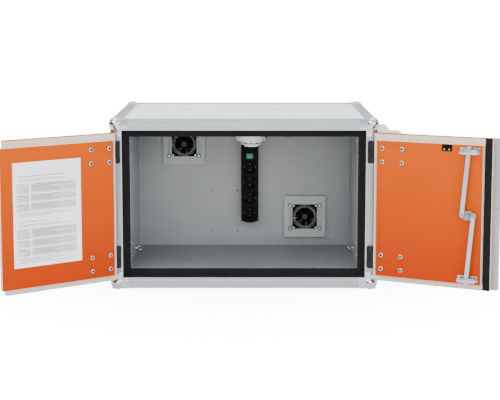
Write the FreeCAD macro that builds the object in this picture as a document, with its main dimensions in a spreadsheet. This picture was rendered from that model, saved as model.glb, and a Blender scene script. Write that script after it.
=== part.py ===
"""Battery charging cabinet in flight-case style, with two open doors.

The origin is the middle of the cabinet's footprint on the floor, +Z is up and
the doors face -Y. All sizes are in millimetres. Depths are counted from the
front plane of the body towards the back.
"""
import FreeCAD, Part
import math
import os
import re

import Sketcher

Vector = FreeCAD.Vector
Rotation = FreeCAD.Rotation
Placement = FreeCAD.Placement

# Driving dimensions
SIZES = {
    # cabinet over its ball corners
    "cabinet_width": 800.0,
    "cabinet_depth": 600.0,
    "cabinet_height": 520.0,
    "ball_radius": 21.0,
    "ball_reach": 6.5,
    "corner_plate": 31.0,
    "corner_arm": 50.0,
    "corner_plate_thick": 1.2,
    "rivet_radius": 2.8,
    "rivet_height": 1.2,
    "rivet_edge": 0.4,
    "rivet_along": 42.0,
    "rivet_across": 17.0,
    # walls, from outside to inside
    "profile_width": 32.5,
    "profile_leg": 34.0,
    "profile_wall": 2.5,
    "groove_width": 2.2,
    "groove_depth": 0.7,
    "groove_count": 3,
    "core_thick": 27.5,
    "lining_thick": 18.5,
    "floor_thick": 22.5,
    "back_wall_depth": 396.0,
    "back_wall_thick": 12.0,
    # door rebate
    "rebate_depth": 22.0,
    "seal_width": 20.0,
    "seal_height": 3.0,
    "carrier_depth": 17.0,
    "trim_thick": 2.5,
    "trim_step": 1.5,
    # doors
    "door_gap": 2.0,
    "door_outer_thick": 18.7,
    "door_inner_thick": 19.3,
    "door_inner_gap": 1.5,
    "left_inner_gap": 7.0,
    "right_inner_gap": 4.0,
    "meeting_gap": 2.0,
    "tongue_reach": 20.0,
    "tongue_gap": 3.5,
    "meeting_seal_thick": 2.7,
    "meeting_seal_gap": 0.6,
    "meeting_seal_tail": 0.2,
    "astragal_width": 40.6,
    "astragal_thick": 2.0,
    "astragal_corner": 8.0,
    "cut_over": 1.0,
    "left_open_angle": 145.0,
    "right_open_angle": 155.0,
    # hinges
    "hinge_side": 11.4,
    "hinge_out": 7.0,
    "knuckle_radius": 6.5,
    "knuckle_height": 62.0,
    "knuckle_middle": 24.0,
    "knuckle_gap": 0.3,
    "pin_radius": 3.0,
    "pin_gap": 0.08,
    "leaf_thick": 2.5,
    "leaf_height": 62.0,
    "leaf_end": 13.0,
    "hinge_inset": 102.5,
    "bolt_first": 52.5,
    "bolt_pitch": 59.5,
    "bolt_rise": 40.0,
    "frame_bolt_inset": 7.5,
    "bolt_radius": 3.0,
    "bolt_hole_gap": 0.3,
    "bolt_head_radius": 5.5,
    "bolt_head_height": 3.2,
    "bolt_nut_height": 5.0,
    # instruction sheet
    "sheet_width": 210.0,
    "sheet_height": 297.0,
    "sheet_thick": 0.4,
    "sheet_from_hinge": 146.0,
    "sheet_raise": 8.5,
    # lock
    "lock_x": 60.4,
    "spindle_radius": 6.0,
    "spindle_gap": 0.08,
    "cam_radius": 13.0,
    "cam_boss_radius": 9.75,
    "cam_arm_width": 15.0,
    "cam_thick": 3.0,
    "cam_boss_height": 8.0,
    "cam_throw": 16.6,
    "cam_pin_radius": 3.0,
    "cam_pin_gap": 0.08,
    "cam_pin_head_radius": 4.8,
    "cam_pin_head_height": 1.4,
    "rod_width": 12.0,
    "rod_thick": 5.0,
    "rod_gap": 0.4,
    "rod_tip_inset": 1.5,
    "rod_tip_taper": 3.0,
    "guide_plate_width": 63.0,
    "guide_plate_height": 17.0,
    "guide_sheet": 1.5,
    "guide_headroom": 1.0,
    "guide_loop_width": 22.0,
    "guide_inset": 16.0,
    "guide_screw_radius": 3.2,
    "handle_length": 118.0,
    "handle_width": 20.0,
    "handle_thick": 11.0,
    "handle_gap": 16.0,
    "handle_hub_radius": 11.0,
    "rose_radius": 24.0,
    "rose_thick": 5.0,
    "keeper_width": 48.0,
    "keeper_depth": 20.0,
    "keeper_thick": 1.5,
    "keeper_play": 1.5,
    "keeper_well": 16.5,
    # magnet and reed switch
    "magnet_x": 127.0,
    "magnet_width": 29.0,
    "magnet_height": 18.5,
    "magnet_thick": 2.5,
    "reed_x": 131.0,
    "reed_width": 15.0,
    "reed_depth": 15.0,
    "reed_height": 7.5,
    # vents with fans
    "vent_plate_size": 136.0,
    "vent_plate_thick": 12.0,
    "upper_vent_inset": 149.0,
    "upper_vent_drop": 70.0,
    "lower_vent_inset": 147.0,
    "lower_vent_rise": 96.5,
    "fan_size": 80.0,
    "fan_depth": 25.0,
    "fan_gap": 0.3,
    "fan_proud": 1.0,
    "fan_bore_radius": 37.5,
    "fan_screw_pitch": 71.5,
    "fan_screw_radius": 2.6,
    "rotor_radius": 36.5,
    "rotor_depth": 19.0,
    "hub_radius": 14.0,
    "blade_thick": 1.6,
    "blade_root_twist": 32.0,
    "blade_tip_twist": 51.2,
    "blade_count": 7,
    "axle_radius": 2.5,
    "axle_gap": 0.06,
    "strut_width": 5.0,
    "strut_thick": 3.0,
    "guard_wire": 1.4,
    "guard_bar_width": 1.96,
    "guard_radius": 39.0,
    "guard_step": 5.5,
    "guard_rings": 4,
    "guard_boss_radius": 9.0,
    "nut_radius": 6.5,
    "nut_height": 8.0,
    "nut_shoulder": 5.6,
    "nut_shoulder_radius": 5.85,
    "nut_pitch_x": 96.5,
    "nut_pitch_z": 76.0,
    # power strip
    "strip_x": 17.6,
    "strip_width": 55.5,
    "strip_depth": 44.0,
    "strip_share": 0.3125,
    "strip_height": 278.0,
    "strip_arch": 5.6,
    "strip_edge": 3.0,
    "socket_radius": 19.5,
    "socket_depth": 17.5,
    "socket_rise": 25.2,
    "socket_pitch": 49.9,
    "socket_count": 4,
    "insert_thick": 2.0,
    "insert_gap": 0.3,
    "contact_radius": 2.4,
    "contact_spacing": 19.0,
    "earth_width": 4.0,
    "earth_reach": 9.0,
    "rocker_drop": 65.0,
    "rocker_width": 21.0,
    "rocker_height": 17.5,
    "rocker_depth": 9.0,
    "rocker_tilt": 7.0,
    "rocker_gap": 0.8,
    "rocker_horn": 2.0,
    "rocker_root": 5.0,
    "rocker_root_share": 0.7,
    # ceiling fittings
    "detector_x": 22.0,
    "detector_depth": 250.0,
    "detector_base_radius": 50.0,
    "detector_base_drop": 41.0,
    "detector_rim": 28.7,
    "detector_step_radius": 34.5,
    "detector_step_drop": 12.0,
    "detector_nose_radius": 24.0,
    "detector_nose_drop": 7.0,
    "detector_taper": 4.0,
    "detector_slot_count": 10,
    "detector_slot_width": 9.0,
    "detector_slot_height": 5.0,
    "detector_slot_depth": 3.0,
    "terminal_thick": 10.0,
    "terminal_side": 37.4,
    "terminal_ahead": 68.0,
    "terminal_width": 7.2,
    "terminal_drop": 36.0,
    "lamp_side": 9.1,
    "lamp_radius": 3.0,
    "lamp_drop": 31.0,
    # lashing eyes
    "eye_depth": 250.0,
    "eye_rise": 17.0,
    "eye_ring_radius": 11.5,
    "eye_wire_radius": 2.5,
    "eye_shank": 4.0,
    "eye_shank_radius": 3.2,
    "eye_washer_radius": 8.0,
    "eye_washer_thick": 1.6,
    "eye_turn": 35.0,
    # spare fixing holes in the back wall
    "fixing_x": -65.2,
    "fixing_rise": 113.2,
    "fixing_width": 85.0,
    "fixing_height": 135.0,
    "fixing_radius": 2.5,
    "fixing_depth": 9.0,
    # boxes on the right side wall
    "box_lid_thick": 16.0,
    "box_joint": 1.2,
    "box_drop": 61.5,
    "box_corner": 9.0,
    "box_share": 0.553846154,
    "box_spacing": 36.0,
    "front_box_length": 118.0,
    "front_box_reach": 97.5,
    "front_box_height": 130.0,
    "rear_box_length": 144.0,
    "rear_box_reach": 72.5,
    "rear_box_height": 160.0,
    # rear outlets and cable gland
    "outlet_size": 110.0,
    "outlet_thick": 3.0,
    "outlet_opening": 76.0,
    "louvre_count": 6,
    "louvre_bar": 5.0,
    "gland_inset": 93.5,
    "gland_rise": 93.5,
    "gland_radius": 12.0,
    "gland_length": 22.0,
    "gland_nut_length": 13.2,
    "gland_top_radius": 9.6,
    "gland_bore": 6.0,
}

doc = FreeCAD.newDocument("battery_cabinet")
sheet = doc.addObject("Spreadsheet::Sheet", "Sizes")
for row, (alias, number) in enumerate(SIZES.items(), start=1):
    sheet.set(f"A{row}", alias)
    sheet.set(f"B{row}", str(number))
    sheet.setAlias(f"B{row}", alias)
doc.recompute()


def value(expression):
    """Number that an expression in the sheet's names works out to."""
    return float(sheet.evalExpression(expression))


def bound(expression):
    """The same expression as objects outside the sheet have to write it."""
    return re.sub(r"[a-z_]+", lambda m: "Sizes." + m[0] if m[0] in SIZES else m[0], expression)


# Planes of the body, named once for every piece
SIDE = "(cabinet_width / 2 - ball_reach)"
FRONT = "(ball_reach - cabinet_depth / 2)"
REAR = "(cabinet_depth / 2 - ball_reach)"
BASE = "(ball_reach)"
TOP = "(cabinet_height - ball_reach)"
SHELL = "(profile_wall + core_thick)"
ROOM_SIDE = f"({SIDE} - {SHELL} - lining_thick)"
ROOM_FLOOR = f"({BASE} + {SHELL} + floor_thick)"
ROOM_TOP = f"({TOP} - {SHELL} - lining_thick)"
REBATE = f"({FRONT} + rebate_depth)"
CARRIER_BACK = f"({REBATE} + carrier_depth)"
LINING_FRONT = f"({CARRIER_BACK} + trim_thick)"
BACK_WALL = f"({FRONT} + back_wall_depth)"
CORE_REAR = f"({REAR} - {SHELL})"
SEAL_INSET = "(profile_width + seal_width)"
MIDDLE = "(cabinet_height / 2)"
DOOR_FACE = f"({FRONT} + door_outer_thick + door_inner_thick)"
OPEN_SIDE = f"({SIDE} - profile_width)"
AXIS_X = f"({OPEN_SIDE} + hinge_side)"
AXIS_Y = f"({FRONT} - hinge_out)"


def point_at(sketch, geometry, end, across, up):
    """Hold one point of a sketch at two expressions, counted from the sketch's origin."""
    for kind, axis, expression in (("DistanceX", -2, across), ("DistanceY", -1, up)):
        number = value(expression)
        if abs(number) < 1e-7:
            sketch.addConstraint(Sketcher.Constraint("PointOnObject", geometry, end, axis))
        else:
            index = sketch.addConstraint(Sketcher.Constraint(kind, -1, 1, geometry, end, number))
            sketch.setExpression(f"Constraints[{index}]", bound(expression))


def draw_polygon(sketch, points):
    """Closed outline of straight lines through points given as pairs of expressions."""
    corners = [Vector(value(across), value(up), 0) for across, up in points]
    first = sketch.GeometryCount
    for start, end in zip(corners, corners[1:] + corners[:1]):
        sketch.addGeometry(Part.LineSegment(start, end), False)
    last = first + len(points) - 1
    for index in range(first, last + 1):
        follower = index + 1 if index < last else first
        sketch.addConstraint(Sketcher.Constraint("Coincident", index, 2, follower, 1))
    for index, (across, up) in enumerate(points, start=first):
        point_at(sketch, index, 1, across, up)


def draw_circle(sketch, across, up, radius):
    """Circle about a point, all three given as expressions."""
    centre = Vector(value(across), value(up), 0)
    index = sketch.addGeometry(Part.Circle(centre, Vector(0, 0, 1), value(radius)), False)
    point_at(sketch, index, 3, across, up)
    rule = sketch.addConstraint(Sketcher.Constraint("Radius", index, value(radius)))
    sketch.setExpression(f"Constraints[{rule}]", bound(radius))


def rectangle(left, low, right, high):
    """Corners of a rectangle as pairs of expressions."""
    return [(left, low), (right, low), (right, high), (left, high)]


def centred(across, up, width, height):
    """Corners of a rectangle about a point."""
    return rectangle(f"{across} - ({width}) / 2", f"{up} - ({height}) / 2",
                     f"{across} + ({width}) / 2", f"{up} + ({height}) / 2")


def ring_grid(across, up, width, height):
    """The four corners of a bolt pattern about a point."""
    return [(f"{across} {i} ({width}) / 2", f"{up} {j} ({height}) / 2") for i in "-+" for j in "-+"]


def new_body(label):
    """An empty body with its own label."""
    body = doc.addObject("PartDesign::Body", label)
    body.Label = label
    return body


def new_sketch(body, plane, at="0"):
    """A sketch on one of the body's own origin planes, moved along its normal by an expression."""
    sketch = body.newObject("Sketcher::SketchObject", f"{body.Name}_sketch")
    support = next(f for f in body.Origin.OriginFeatures if f.Role == f"{plane}_Plane")
    sketch.AttachmentSupport = [(support, "")]
    sketch.MapMode = "FlatFace"
    sketch.setExpression("AttachmentOffset.Base.z", bound(at))
    return sketch


def slice_start(plane, low, thick):
    """Offset of a sketch whose pad fills low to low + thick along the plane's axis."""
    return f"-({low}) - ({thick})" if plane == "XZ" else low


def add_slab(body, plane, low, thick, outlines, circles=()):
    """Pad outlines and round holes drawn on one plane."""
    sketch = new_sketch(body, plane, slice_start(plane, low, thick))
    for points in outlines:
        draw_polygon(sketch, points)
    for circle in circles:
        draw_circle(sketch, *circle)
    pad = body.newObject("PartDesign::Pad", f"{body.Name}_pad")
    pad.Profile = sketch
    pad.setExpression("Length", bound(thick))
    sketch.Visibility = False
    doc.recompute()
    return pad


def cut_slab(body, plane, low, thick, outlines, circles=()):
    """Pocket outlines and circles drawn on one plane, and check that material went."""
    before = body.Shape.Volume
    sketch = new_sketch(body, plane, slice_start(plane, low, thick))
    for points in outlines:
        draw_polygon(sketch, points)
    for circle in circles:
        draw_circle(sketch, *circle)
    pocket = body.newObject("PartDesign::Pocket", f"{body.Name}_pocket")
    pocket.Profile = sketch
    pocket.Reversed = True
    pocket.setExpression("Length", bound(thick))
    sketch.Visibility = False
    doc.recompute()
    if body.Shape.Volume >= before - 1e-6:
        raise RuntimeError(f"a pocket of {body.Label} cuts nothing")
    return pocket


def slab(label, plane, low, thick, outlines, circles=()):
    """A body made of one pad."""
    body = new_body(label)
    add_slab(body, plane, low, thick, outlines, circles)
    return body


def turned(label, points):
    """A body turned about its own Z axis from points (radius, height)."""
    body = new_body(label)
    sketch = new_sketch(body, "XZ")
    draw_polygon(sketch, points)
    spin = body.newObject("PartDesign::Revolution", f"{label}_turn")
    spin.Profile = sketch
    spin.ReferenceAxis = (sketch, ["V_Axis"])
    spin.Angle = 360
    sketch.Visibility = False
    doc.recompute()
    return body


def soften(body, direction, radius, keep=None):
    """Round the straight edges of a body that run along one direction."""
    feature = body.Tip
    names = []
    for index, edge in enumerate(feature.Shape.Edges, start=1):
        if edge.Curve.TypeId != "Part::GeomLine":
            continue
        if abs(edge.tangentAt(edge.FirstParameter).dot(direction)) < 0.999:
            continue
        if keep is None or keep(edge):
            names.append(f"Edge{index}")
    fillet = body.newObject("PartDesign::Fillet", f"{body.Name}_round")
    fillet.Base = (feature, names)
    fillet.setExpression("Radius", bound(radius))
    doc.recompute()
    return fillet


def box(name, low, sizes):
    """A box from its low corner and three sizes, all expressions."""
    item = doc.addObject("Part::Box", name)
    for prop, expression in zip(("Length", "Width", "Height"), sizes):
        item.setExpression(prop, bound(expression))
    for prop, expression in zip("xyz", low):
        item.setExpression(f"Placement.Base.{prop}", bound(expression))
    return item


AXES = {"X": Rotation(Vector(0, 1, 0), 90), "Y": Rotation(Vector(1, 0, 0), -90), "Z": Rotation()}


def rod(name, axis, low, radius, length):
    """A cylinder along one axis from the middle of its low end."""
    item = doc.addObject("Part::Cylinder", name)
    item.Placement.Rotation = AXES[axis]
    item.setExpression("Radius", bound(radius))
    item.setExpression("Height", bound(length))
    for prop, expression in zip("xyz", low):
        item.setExpression(f"Placement.Base.{prop}", bound(expression))
    return item


def joined(label, kind, shapes):
    """A fusion or a loose set of shapes under one label."""
    item = doc.addObject(kind, label)
    item.Label = label
    if kind == "Part::Compound":
        item.Links = shapes
    else:
        item.Shapes = shapes
    return item


def cut(label, base, tool):
    """One shape less another."""
    item = doc.addObject("Part::Cut", label)
    item.Label = label
    item.Base = base
    item.Tool = tool
    return item


def copies(label, source, places):
    """The same piece at several places, as one set."""
    links = []
    for index, place in enumerate(places):
        link = doc.addObject("App::Link", f"{label}_copy{index}")
        link.LinkedObject = source
        link.LinkTransform = True
        link.Placement = place
        links.append(link)
    return joined(label, "Part::Compound", links)


def swing(side):
    """Turn from a closed door to the same door standing open, side -1 left and 1 right."""
    angle = value("left_open_angle" if side < 0 else "right_open_angle")
    axis = Vector(side * value(AXIS_X), value(AXIS_Y), 0)
    return Placement(Vector(), Rotation(Vector(0, 0, 1), side * angle), axis)


SWING = {side: swing(side) for side in (-1, 1)}
NODES = []


def keep(*items):
    """Hand in pieces as nodes of the part."""
    NODES.extend(items)


def carried(side, *items):
    """Hang pieces, made for the closed door, on the open door of one side."""
    for item in items:
        item.Placement = SWING[side].multiply(item.Placement)
    keep(*items)


# Bolt patterns of the hinges: four bolts to each of two hinges
HINGE_HEIGHTS = ["(hinge_inset)", "(cabinet_height - hinge_inset)"]
BOLT_STEPS = ["0", "bolt_pitch"]


def bolt_grid(first, direction=""):
    """Centres of one side's eight bolts, counted from a first expression."""
    return [(f"{direction}({first} + {step})", f"{height} {sign} bolt_rise / 2")
            for height in HINGE_HEIGHTS for step in BOLT_STEPS for sign in "-+"]


def bolt_holes(centres):
    """Clearance holes about bolt centres."""
    return [(across, up, "bolt_radius + bolt_hole_gap") for across, up in centres]


FRAME_BOLTS = bolt_grid(f"{LINING_FRONT} + frame_bolt_inset")

# Wall cores between the edge profiles
for side, name in ((-1, "core_left"), (1, "core_right")):
    low = f"{SIDE} - {SHELL}" if side > 0 else f"profile_wall - {SIDE}"
    wall = rectangle(f"{FRONT} + profile_wall", f"{BASE} + profile_wall",
                     f"{REAR} - profile_wall", f"{TOP} - profile_wall")
    keep(slab(name, "YZ", low, "core_thick", [wall], bolt_holes(FRAME_BOLTS)))

INNER = f"({SIDE} - {SHELL})"
for name, low in (("core_bottom", f"{BASE} + profile_wall"), ("core_top", f"{TOP} - {SHELL}")):
    lid = rectangle(f"-{INNER}", f"{FRONT} + profile_wall", INNER, f"{REAR} - profile_wall")
    keep(slab(name, "XY", low, "core_thick", [lid]))

VENTS = [(f"(upper_vent_inset - {ROOM_SIDE})", f"({ROOM_TOP} - upper_vent_drop)"),
         (f"({ROOM_SIDE} - lower_vent_inset)", f"({ROOM_FLOOR} + lower_vent_rise)")]
GLAND_X = f"({SIDE} - gland_inset)"
GLAND_Z = f"({BASE} + gland_rise)"
GLAND = (GLAND_X, GLAND_Z, "gland_radius - profile_wall + bolt_hole_gap")
outlets = [centred(across, up, "outlet_opening", "outlet_opening") for across, up in VENTS]
rear = rectangle(f"-{INNER}", f"{BASE} + {SHELL}", INNER, f"{TOP} - {SHELL}")
keep(slab("core_rear", "XZ", CORE_REAR, "core_thick", [rear] + outlets, [GLAND]))

# Linings of the room, the back wall and the floor
LOCK_Y = f"({DOOR_FACE} + cam_boss_height + cam_thick + rod_gap + rod_thick / 2)"
KEEPER_SLOT = centred("lock_x", LOCK_Y, "guide_loop_width", "rod_thick + 2 * keeper_play")
for side, name in ((-1, "lining_left"), (1, "lining_right")):
    low = f"{SIDE} - {SHELL} - lining_thick" if side > 0 else f"{SHELL} - {SIDE}"
    board = rectangle(LINING_FRONT, ROOM_FLOOR, CORE_REAR, ROOM_TOP)
    keep(slab(name, "YZ", low, "lining_thick", [board], bolt_holes(FRAME_BOLTS)))

board = rectangle(f"-{INNER}", LINING_FRONT, INNER, CORE_REAR)
floor_board = slab("floor_board", "XY", f"{BASE} + {SHELL}", "floor_thick", [board])
cut_slab(floor_board, "XY", f"{ROOM_FLOOR} - keeper_well", "keeper_well", [KEEPER_SLOT])
lining_top = slab("lining_top", "XY", ROOM_TOP, "lining_thick", [board])
cut_slab(lining_top, "XY", ROOM_TOP, "keeper_well", [KEEPER_SLOT])
keep(floor_board, lining_top)

FAN_WINDOW = "fan_size + 2 * fan_gap"
NUT_HOLES = [(across, up) for vent in VENTS for across, up in ring_grid(*vent, "nut_pitch_x", "nut_pitch_z")]
windows = [centred(across, up, FAN_WINDOW, FAN_WINDOW) for across, up in VENTS]
wall = rectangle(f"-{ROOM_SIDE}", ROOM_FLOOR, ROOM_SIDE, ROOM_TOP)
back_wall = slab("back_wall", "XZ", BACK_WALL, "back_wall_thick", [wall] + windows, bolt_holes(NUT_HOLES))
fixings = ring_grid("fixing_x", f"{ROOM_FLOOR} + fixing_rise", "fixing_width", "fixing_height")
cut_slab(back_wall, "XZ", BACK_WALL, "fixing_depth", [], [(*centre, "fixing_radius") for centre in fixings])
keep(back_wall)


# Aluminium edge profiles
def profile_section(inward, depth, rebated):
    """Outline of an edge profile, from two functions that place inward and depth."""
    corners = [("0", "0"), ("profile_width", "0")]
    if rebated:
        corners += [("profile_width", "rebate_depth"), ("profile_width - profile_wall", "rebate_depth")]
        corners += [("profile_width - profile_wall", "profile_wall")]
    else:
        corners += [("profile_width", "profile_wall")]
    corners += [("profile_wall", "profile_wall"), ("profile_wall", "profile_leg"), ("0", "profile_leg")]
    return [(depth(v), inward(u)) for u, v in corners]


def edge_profile(label, edge, at_front):
    """One mitred profile of the front or the rear ring."""
    depth = (lambda v: f"{FRONT} + {v}") if at_front else (lambda v: f"{REAR} - ({v})")
    far = {"top": TOP, "bottom": BASE, "right": SIDE, "left": f"-{SIDE}"}[edge]
    inward = (lambda u: f"{far} - ({u})") if edge in ("top", "right") else (lambda u: f"{far} + {u}")
    flat = edge in ("top", "bottom")
    plane, low = ("YZ", f"-{SIDE}") if flat else ("XY", BASE)
    length = f"2 * {SIDE}" if flat else f"{TOP} - {BASE}"

    def placed(points):
        return points if flat else [(up, across) for across, up in points]

    body = slab(label, plane, low, length, [placed(profile_section(inward, depth, at_front))])
    grooves = []
    for number in range(int(value("groove_count"))):
        middle = f"profile_width * ({number} + 1) / (groove_count + 1)"
        points = rectangle("0", f"{middle} - groove_width / 2", "groove_depth", f"{middle} + groove_width / 2")
        grooves.append(placed([(depth(v), inward(u)) for v, u in points]))
    cut_slab(body, plane, low, length, grooves)
    ends = []
    over, deep = "cut_over", "(profile_width + cut_over)"
    for sign in "-+":
        if flat:
            tip = f"{sign}({SIDE} + {over})"
            heel = f"{sign}({SIDE} - {deep})"
            ends.append([(tip, inward(f"-{over}")), (tip, inward(deep)), (heel, inward(deep))])
        else:
            corner, step = (BASE, "-") if sign == "-" else (TOP, "+")
            tip = f"{corner} {step} {over}"
            heel = f"{corner} {'+' if step == '-' else '-'} {deep}"
            ends.append([(inward(f"-{over}"), tip), (inward(deep), tip), (inward(deep), heel)])
    near = FRONT if at_front else f"{REAR} - profile_leg"
    cut_slab(body, "XZ", near, "profile_leg", ends)
    return body


for edge in ("top", "bottom", "left", "right"):
    keep(edge_profile(f"front_profile_{edge}", edge, True))
rear_ring = [edge_profile(f"rear_profile_{edge}", edge, False) for edge in ("top", "bottom", "left", "right")]
keep(joined("rear_profiles", "Part::Compound", rear_ring))

rails = []
for side in "-+":
    for far, step in ((BASE, "+"), (TOP, "-")):
        edge_x, into = f"{side}{SIDE}", "-" if side == "+" else "+"
        angle = [("0", "0"), ("profile_width", "0"), ("profile_width", "profile_wall"),
                 ("profile_wall", "profile_wall"), ("profile_wall", "profile_width"), ("0", "profile_width")]
        points = [(f"{edge_x} {into} {across}", f"{far} {step} {up}") for across, up in angle]
        run = f"{REAR} - {FRONT} - 2 * profile_leg"
        rails.append(slab(f"rail_{len(rails)}", "XZ", f"{FRONT} + profile_leg", run, [points]))
keep(joined("depth_profiles", "Part::Compound", rails))

# Ball corners: a ball and three arms round each corner of the body
BODY_SIZES = (f"2 * {SIDE}", f"{REAR} - {FRONT}", f"{TOP} - {BASE}")
envelope = box("body_envelope", (f"-{SIDE}", FRONT, BASE), BODY_SIZES)
CORNERS = [(x, y, z) for z in (1, -1) for y in (-1, 1) for x in (-1, 1)]
FACES = {"x": {1: SIDE, -1: f"-{SIDE}"}, "y": {1: REAR, -1: FRONT}, "z": {1: TOP, -1: BASE}}
lumps = []
for signs in CORNERS:
    ball = doc.addObject("Part::Sphere", "ball")
    ball.setExpression("Radius", bound("ball_radius"))
    for prop, sign in zip("xyz", signs):
        place = f"{FACES[prop][sign]} - {sign} * (ball_radius - ball_reach)"
        ball.setExpression(f"Placement.Base.{prop}", bound(place))
    lumps.append(ball)
    for along in range(3):
        reach = ["corner_arm" if along == number else "corner_plate" for number in range(3)]
        lows = [f"{FACES[p][s]} - {r}" if s > 0 else f"{FACES[p][s]} - corner_plate_thick"
                for p, s, r in zip("xyz", signs, reach)]
        lumps.append(box("corner_arm", lows, [f"{r} + corner_plate_thick" for r in reach]))
corner_set = cut("corner_set", joined("corner_lumps", "Part::MultiFuse", lumps), envelope)

rivet = turned("rivet", [("0", "0"), ("rivet_radius", "0"), ("rivet_radius", "rivet_edge"),
                         ("rivet_radius / 2", "rivet_height"), ("0", "rivet_height")])
rivet_places = []
for signs in CORNERS:
    faces = [value(FACES[p][s]) for p, s in zip("xyz", signs)]
    for face in range(3):
        if face == 2 and signs[2] < 0:
            continue
        for along in range(3):
            if along == face:
                continue
            inset = [value("rivet_along") if k == along else value("rivet_across") for k in range(3)]
            spot = [f - s * i for f, s, i in zip(faces, signs, inset)]
            spot[face] = faces[face] + signs[face] * value("corner_plate_thick")
            normal = Vector(*[signs[k] if k == face else 0 for k in range(3)])
            rivet_places.append(Placement(Vector(*spot), Rotation(Vector(0, 0, 1), normal)))
keep(joined("ball_corners", "Part::MultiFuse", [corner_set, copies("corner_rivets", rivet, rivet_places)]))


# Seal, its carrier and the trim round the room's mouth
def frame_outline(inset):
    """Rectangle a given inset inside the body's front."""
    return rectangle(f"{inset} - {SIDE}", f"{BASE} + {inset}", f"{SIDE} - {inset}", f"{TOP} - {inset}")


MOUTH = frame_outline(SEAL_INSET)
keep(slab("frame_seal", "XZ", f"{REBATE} - seal_height", "seal_height",
          [frame_outline("profile_width"), MOUTH]))
keep(slab("seal_carrier", "XZ", REBATE, "carrier_depth", [frame_outline(SHELL), MOUTH]))
trim_mouth = frame_outline(f"({SEAL_INSET} + trim_step)")
keep(slab("lining_trim", "XZ", CARRIER_BACK, "trim_thick", [frame_outline(SHELL), trim_mouth]))

# Hinges: the frame half carries the middle knuckle and the pin
KNUCKLE_CLEAR = "(knuckle_radius + knuckle_gap)"
STRAP_Y = f"({FRONT} - leaf_thick)"


def hinge_box(side, near, far, low_y, high_y):
    """Rectangle between two distances from the axis into the door, mirrored for the left."""
    start, end = (f"{side} * ({AXIS_X} - ({distance}))" for distance in (near, far))
    return rectangle(start, low_y, end, high_y)


def frame_leaf(label, side, height):
    """Strap over the upright and the side wall with the middle knuckle and the pin."""
    body = new_body(label)
    low = f"{height} - leaf_height / 2"
    outer = f"{side} * ({SIDE} + leaf_thick)"
    edge = f"{side} * {SIDE}"
    start = f"{side} * ({AXIS_X} + {KNUCKLE_CLEAR})"
    end = f"{LINING_FRONT} + frame_bolt_inset + bolt_pitch + leaf_end"
    strap = [(start, STRAP_Y), (outer, STRAP_Y), (outer, end), (edge, end), (edge, FRONT), (start, FRONT)]
    add_slab(body, "XY", low, "leaf_height", [strap])
    middle = f"{height} - knuckle_middle / 2"
    bridge = hinge_box(side, "0", f"-{KNUCKLE_CLEAR} - leaf_thick", STRAP_Y, FRONT)
    add_slab(body, "XY", middle, "knuckle_middle", [bridge])
    axis = (f"{side} * {AXIS_X}", AXIS_Y)
    add_slab(body, "XY", middle, "knuckle_middle", [], [(*axis, "knuckle_radius")])
    add_slab(body, "XY", f"{height} - knuckle_height / 2", "knuckle_height", [], [(*axis, "pin_radius")])
    holes = [hole for hole in bolt_holes(FRAME_BOLTS) if height in hole[1]]
    cut_slab(body, "YZ", f"{SIDE}" if side > 0 else f"-{SIDE} - leaf_thick", "leaf_thick", [], holes)
    return body


def door_leaf(label, side, height):
    """Strap on the door's outer face with the two end knuckles."""
    body = new_body(label)
    low = f"{height} - leaf_height / 2"
    strap = hinge_box(side, KNUCKLE_CLEAR, "bolt_first + bolt_pitch + leaf_end", STRAP_Y, FRONT)
    add_slab(body, "XY", low, "leaf_height", [strap])
    tall = "(knuckle_height - knuckle_middle) / 2 - knuckle_gap"
    for start in (f"{height} - knuckle_height / 2", f"{height} + knuckle_middle / 2 + knuckle_gap"):
        bridge = hinge_box(side, "0", f"{KNUCKLE_CLEAR} + leaf_thick", STRAP_Y, FRONT)
        add_slab(body, "XY", start, tall, [bridge])
        axis = (f"{side} * {AXIS_X}", AXIS_Y)
        add_slab(body, "XY", start, tall, [], [(*axis, "knuckle_radius")])
        cut_slab(body, "XY", start, tall, [], [(*axis, "pin_radius + pin_gap")])
    holes = [hole for hole in bolt_holes(door_bolts(side)) if height in hole[1]]
    cut_slab(body, "XZ", STRAP_Y, "leaf_thick", [], holes)
    return body


def door_bolts(side):
    """Centres of the bolts through one closed door."""
    return [(f"{side} * ({AXIS_X} - {across})", up) for across, up in bolt_grid("bolt_first")]


def bolt(label, grip):
    """Bolt along Z: domed head at the start, nut at the far end of the grip."""
    head, shank = "bolt_head_radius", "bolt_radius"
    return turned(label, [
        ("0", "-bolt_head_height"), (f"{head} / 2", "-bolt_head_height"), (head, "-bolt_head_height / 3"),
        (head, "0"), (shank, "0"), (shank, grip), (head, grip), (head, f"{grip} + bolt_nut_height / 2"),
        (f"{head} * 0.6", f"{grip} + bolt_nut_height"), ("0", f"{grip} + bolt_nut_height")])


leaves = [frame_leaf(f"frame_leaf_{n}", side, height)
          for n, (side, height) in enumerate((s, h) for s in (-1, 1) for h in HINGE_HEIGHTS)]
keep(joined("hinge_frame_leaves", "Part::Compound", leaves))
for side, name in ((-1, "left"), (1, "right")):
    halves = [door_leaf(f"{name}_leaf_{n}", side, height) for n, height in enumerate(HINGE_HEIGHTS)]
    carried(side, joined(f"{name}_hinge_leaves", "Part::Compound", halves))

WALL_GRIP = f"leaf_thick + {SIDE} - {ROOM_SIDE}"
wall_bolt = bolt("wall_bolt", WALL_GRIP)
wall_places = []
for side in (-1, 1):
    for across, up in FRAME_BOLTS:
        spot = Vector(side * value(f"{SIDE} + leaf_thick"), value(across), value(up))
        wall_places.append(Placement(spot, Rotation(Vector(0, 0, 1), Vector(-side, 0, 0))))
keep(copies("frame_bolts", wall_bolt, wall_places))

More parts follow.
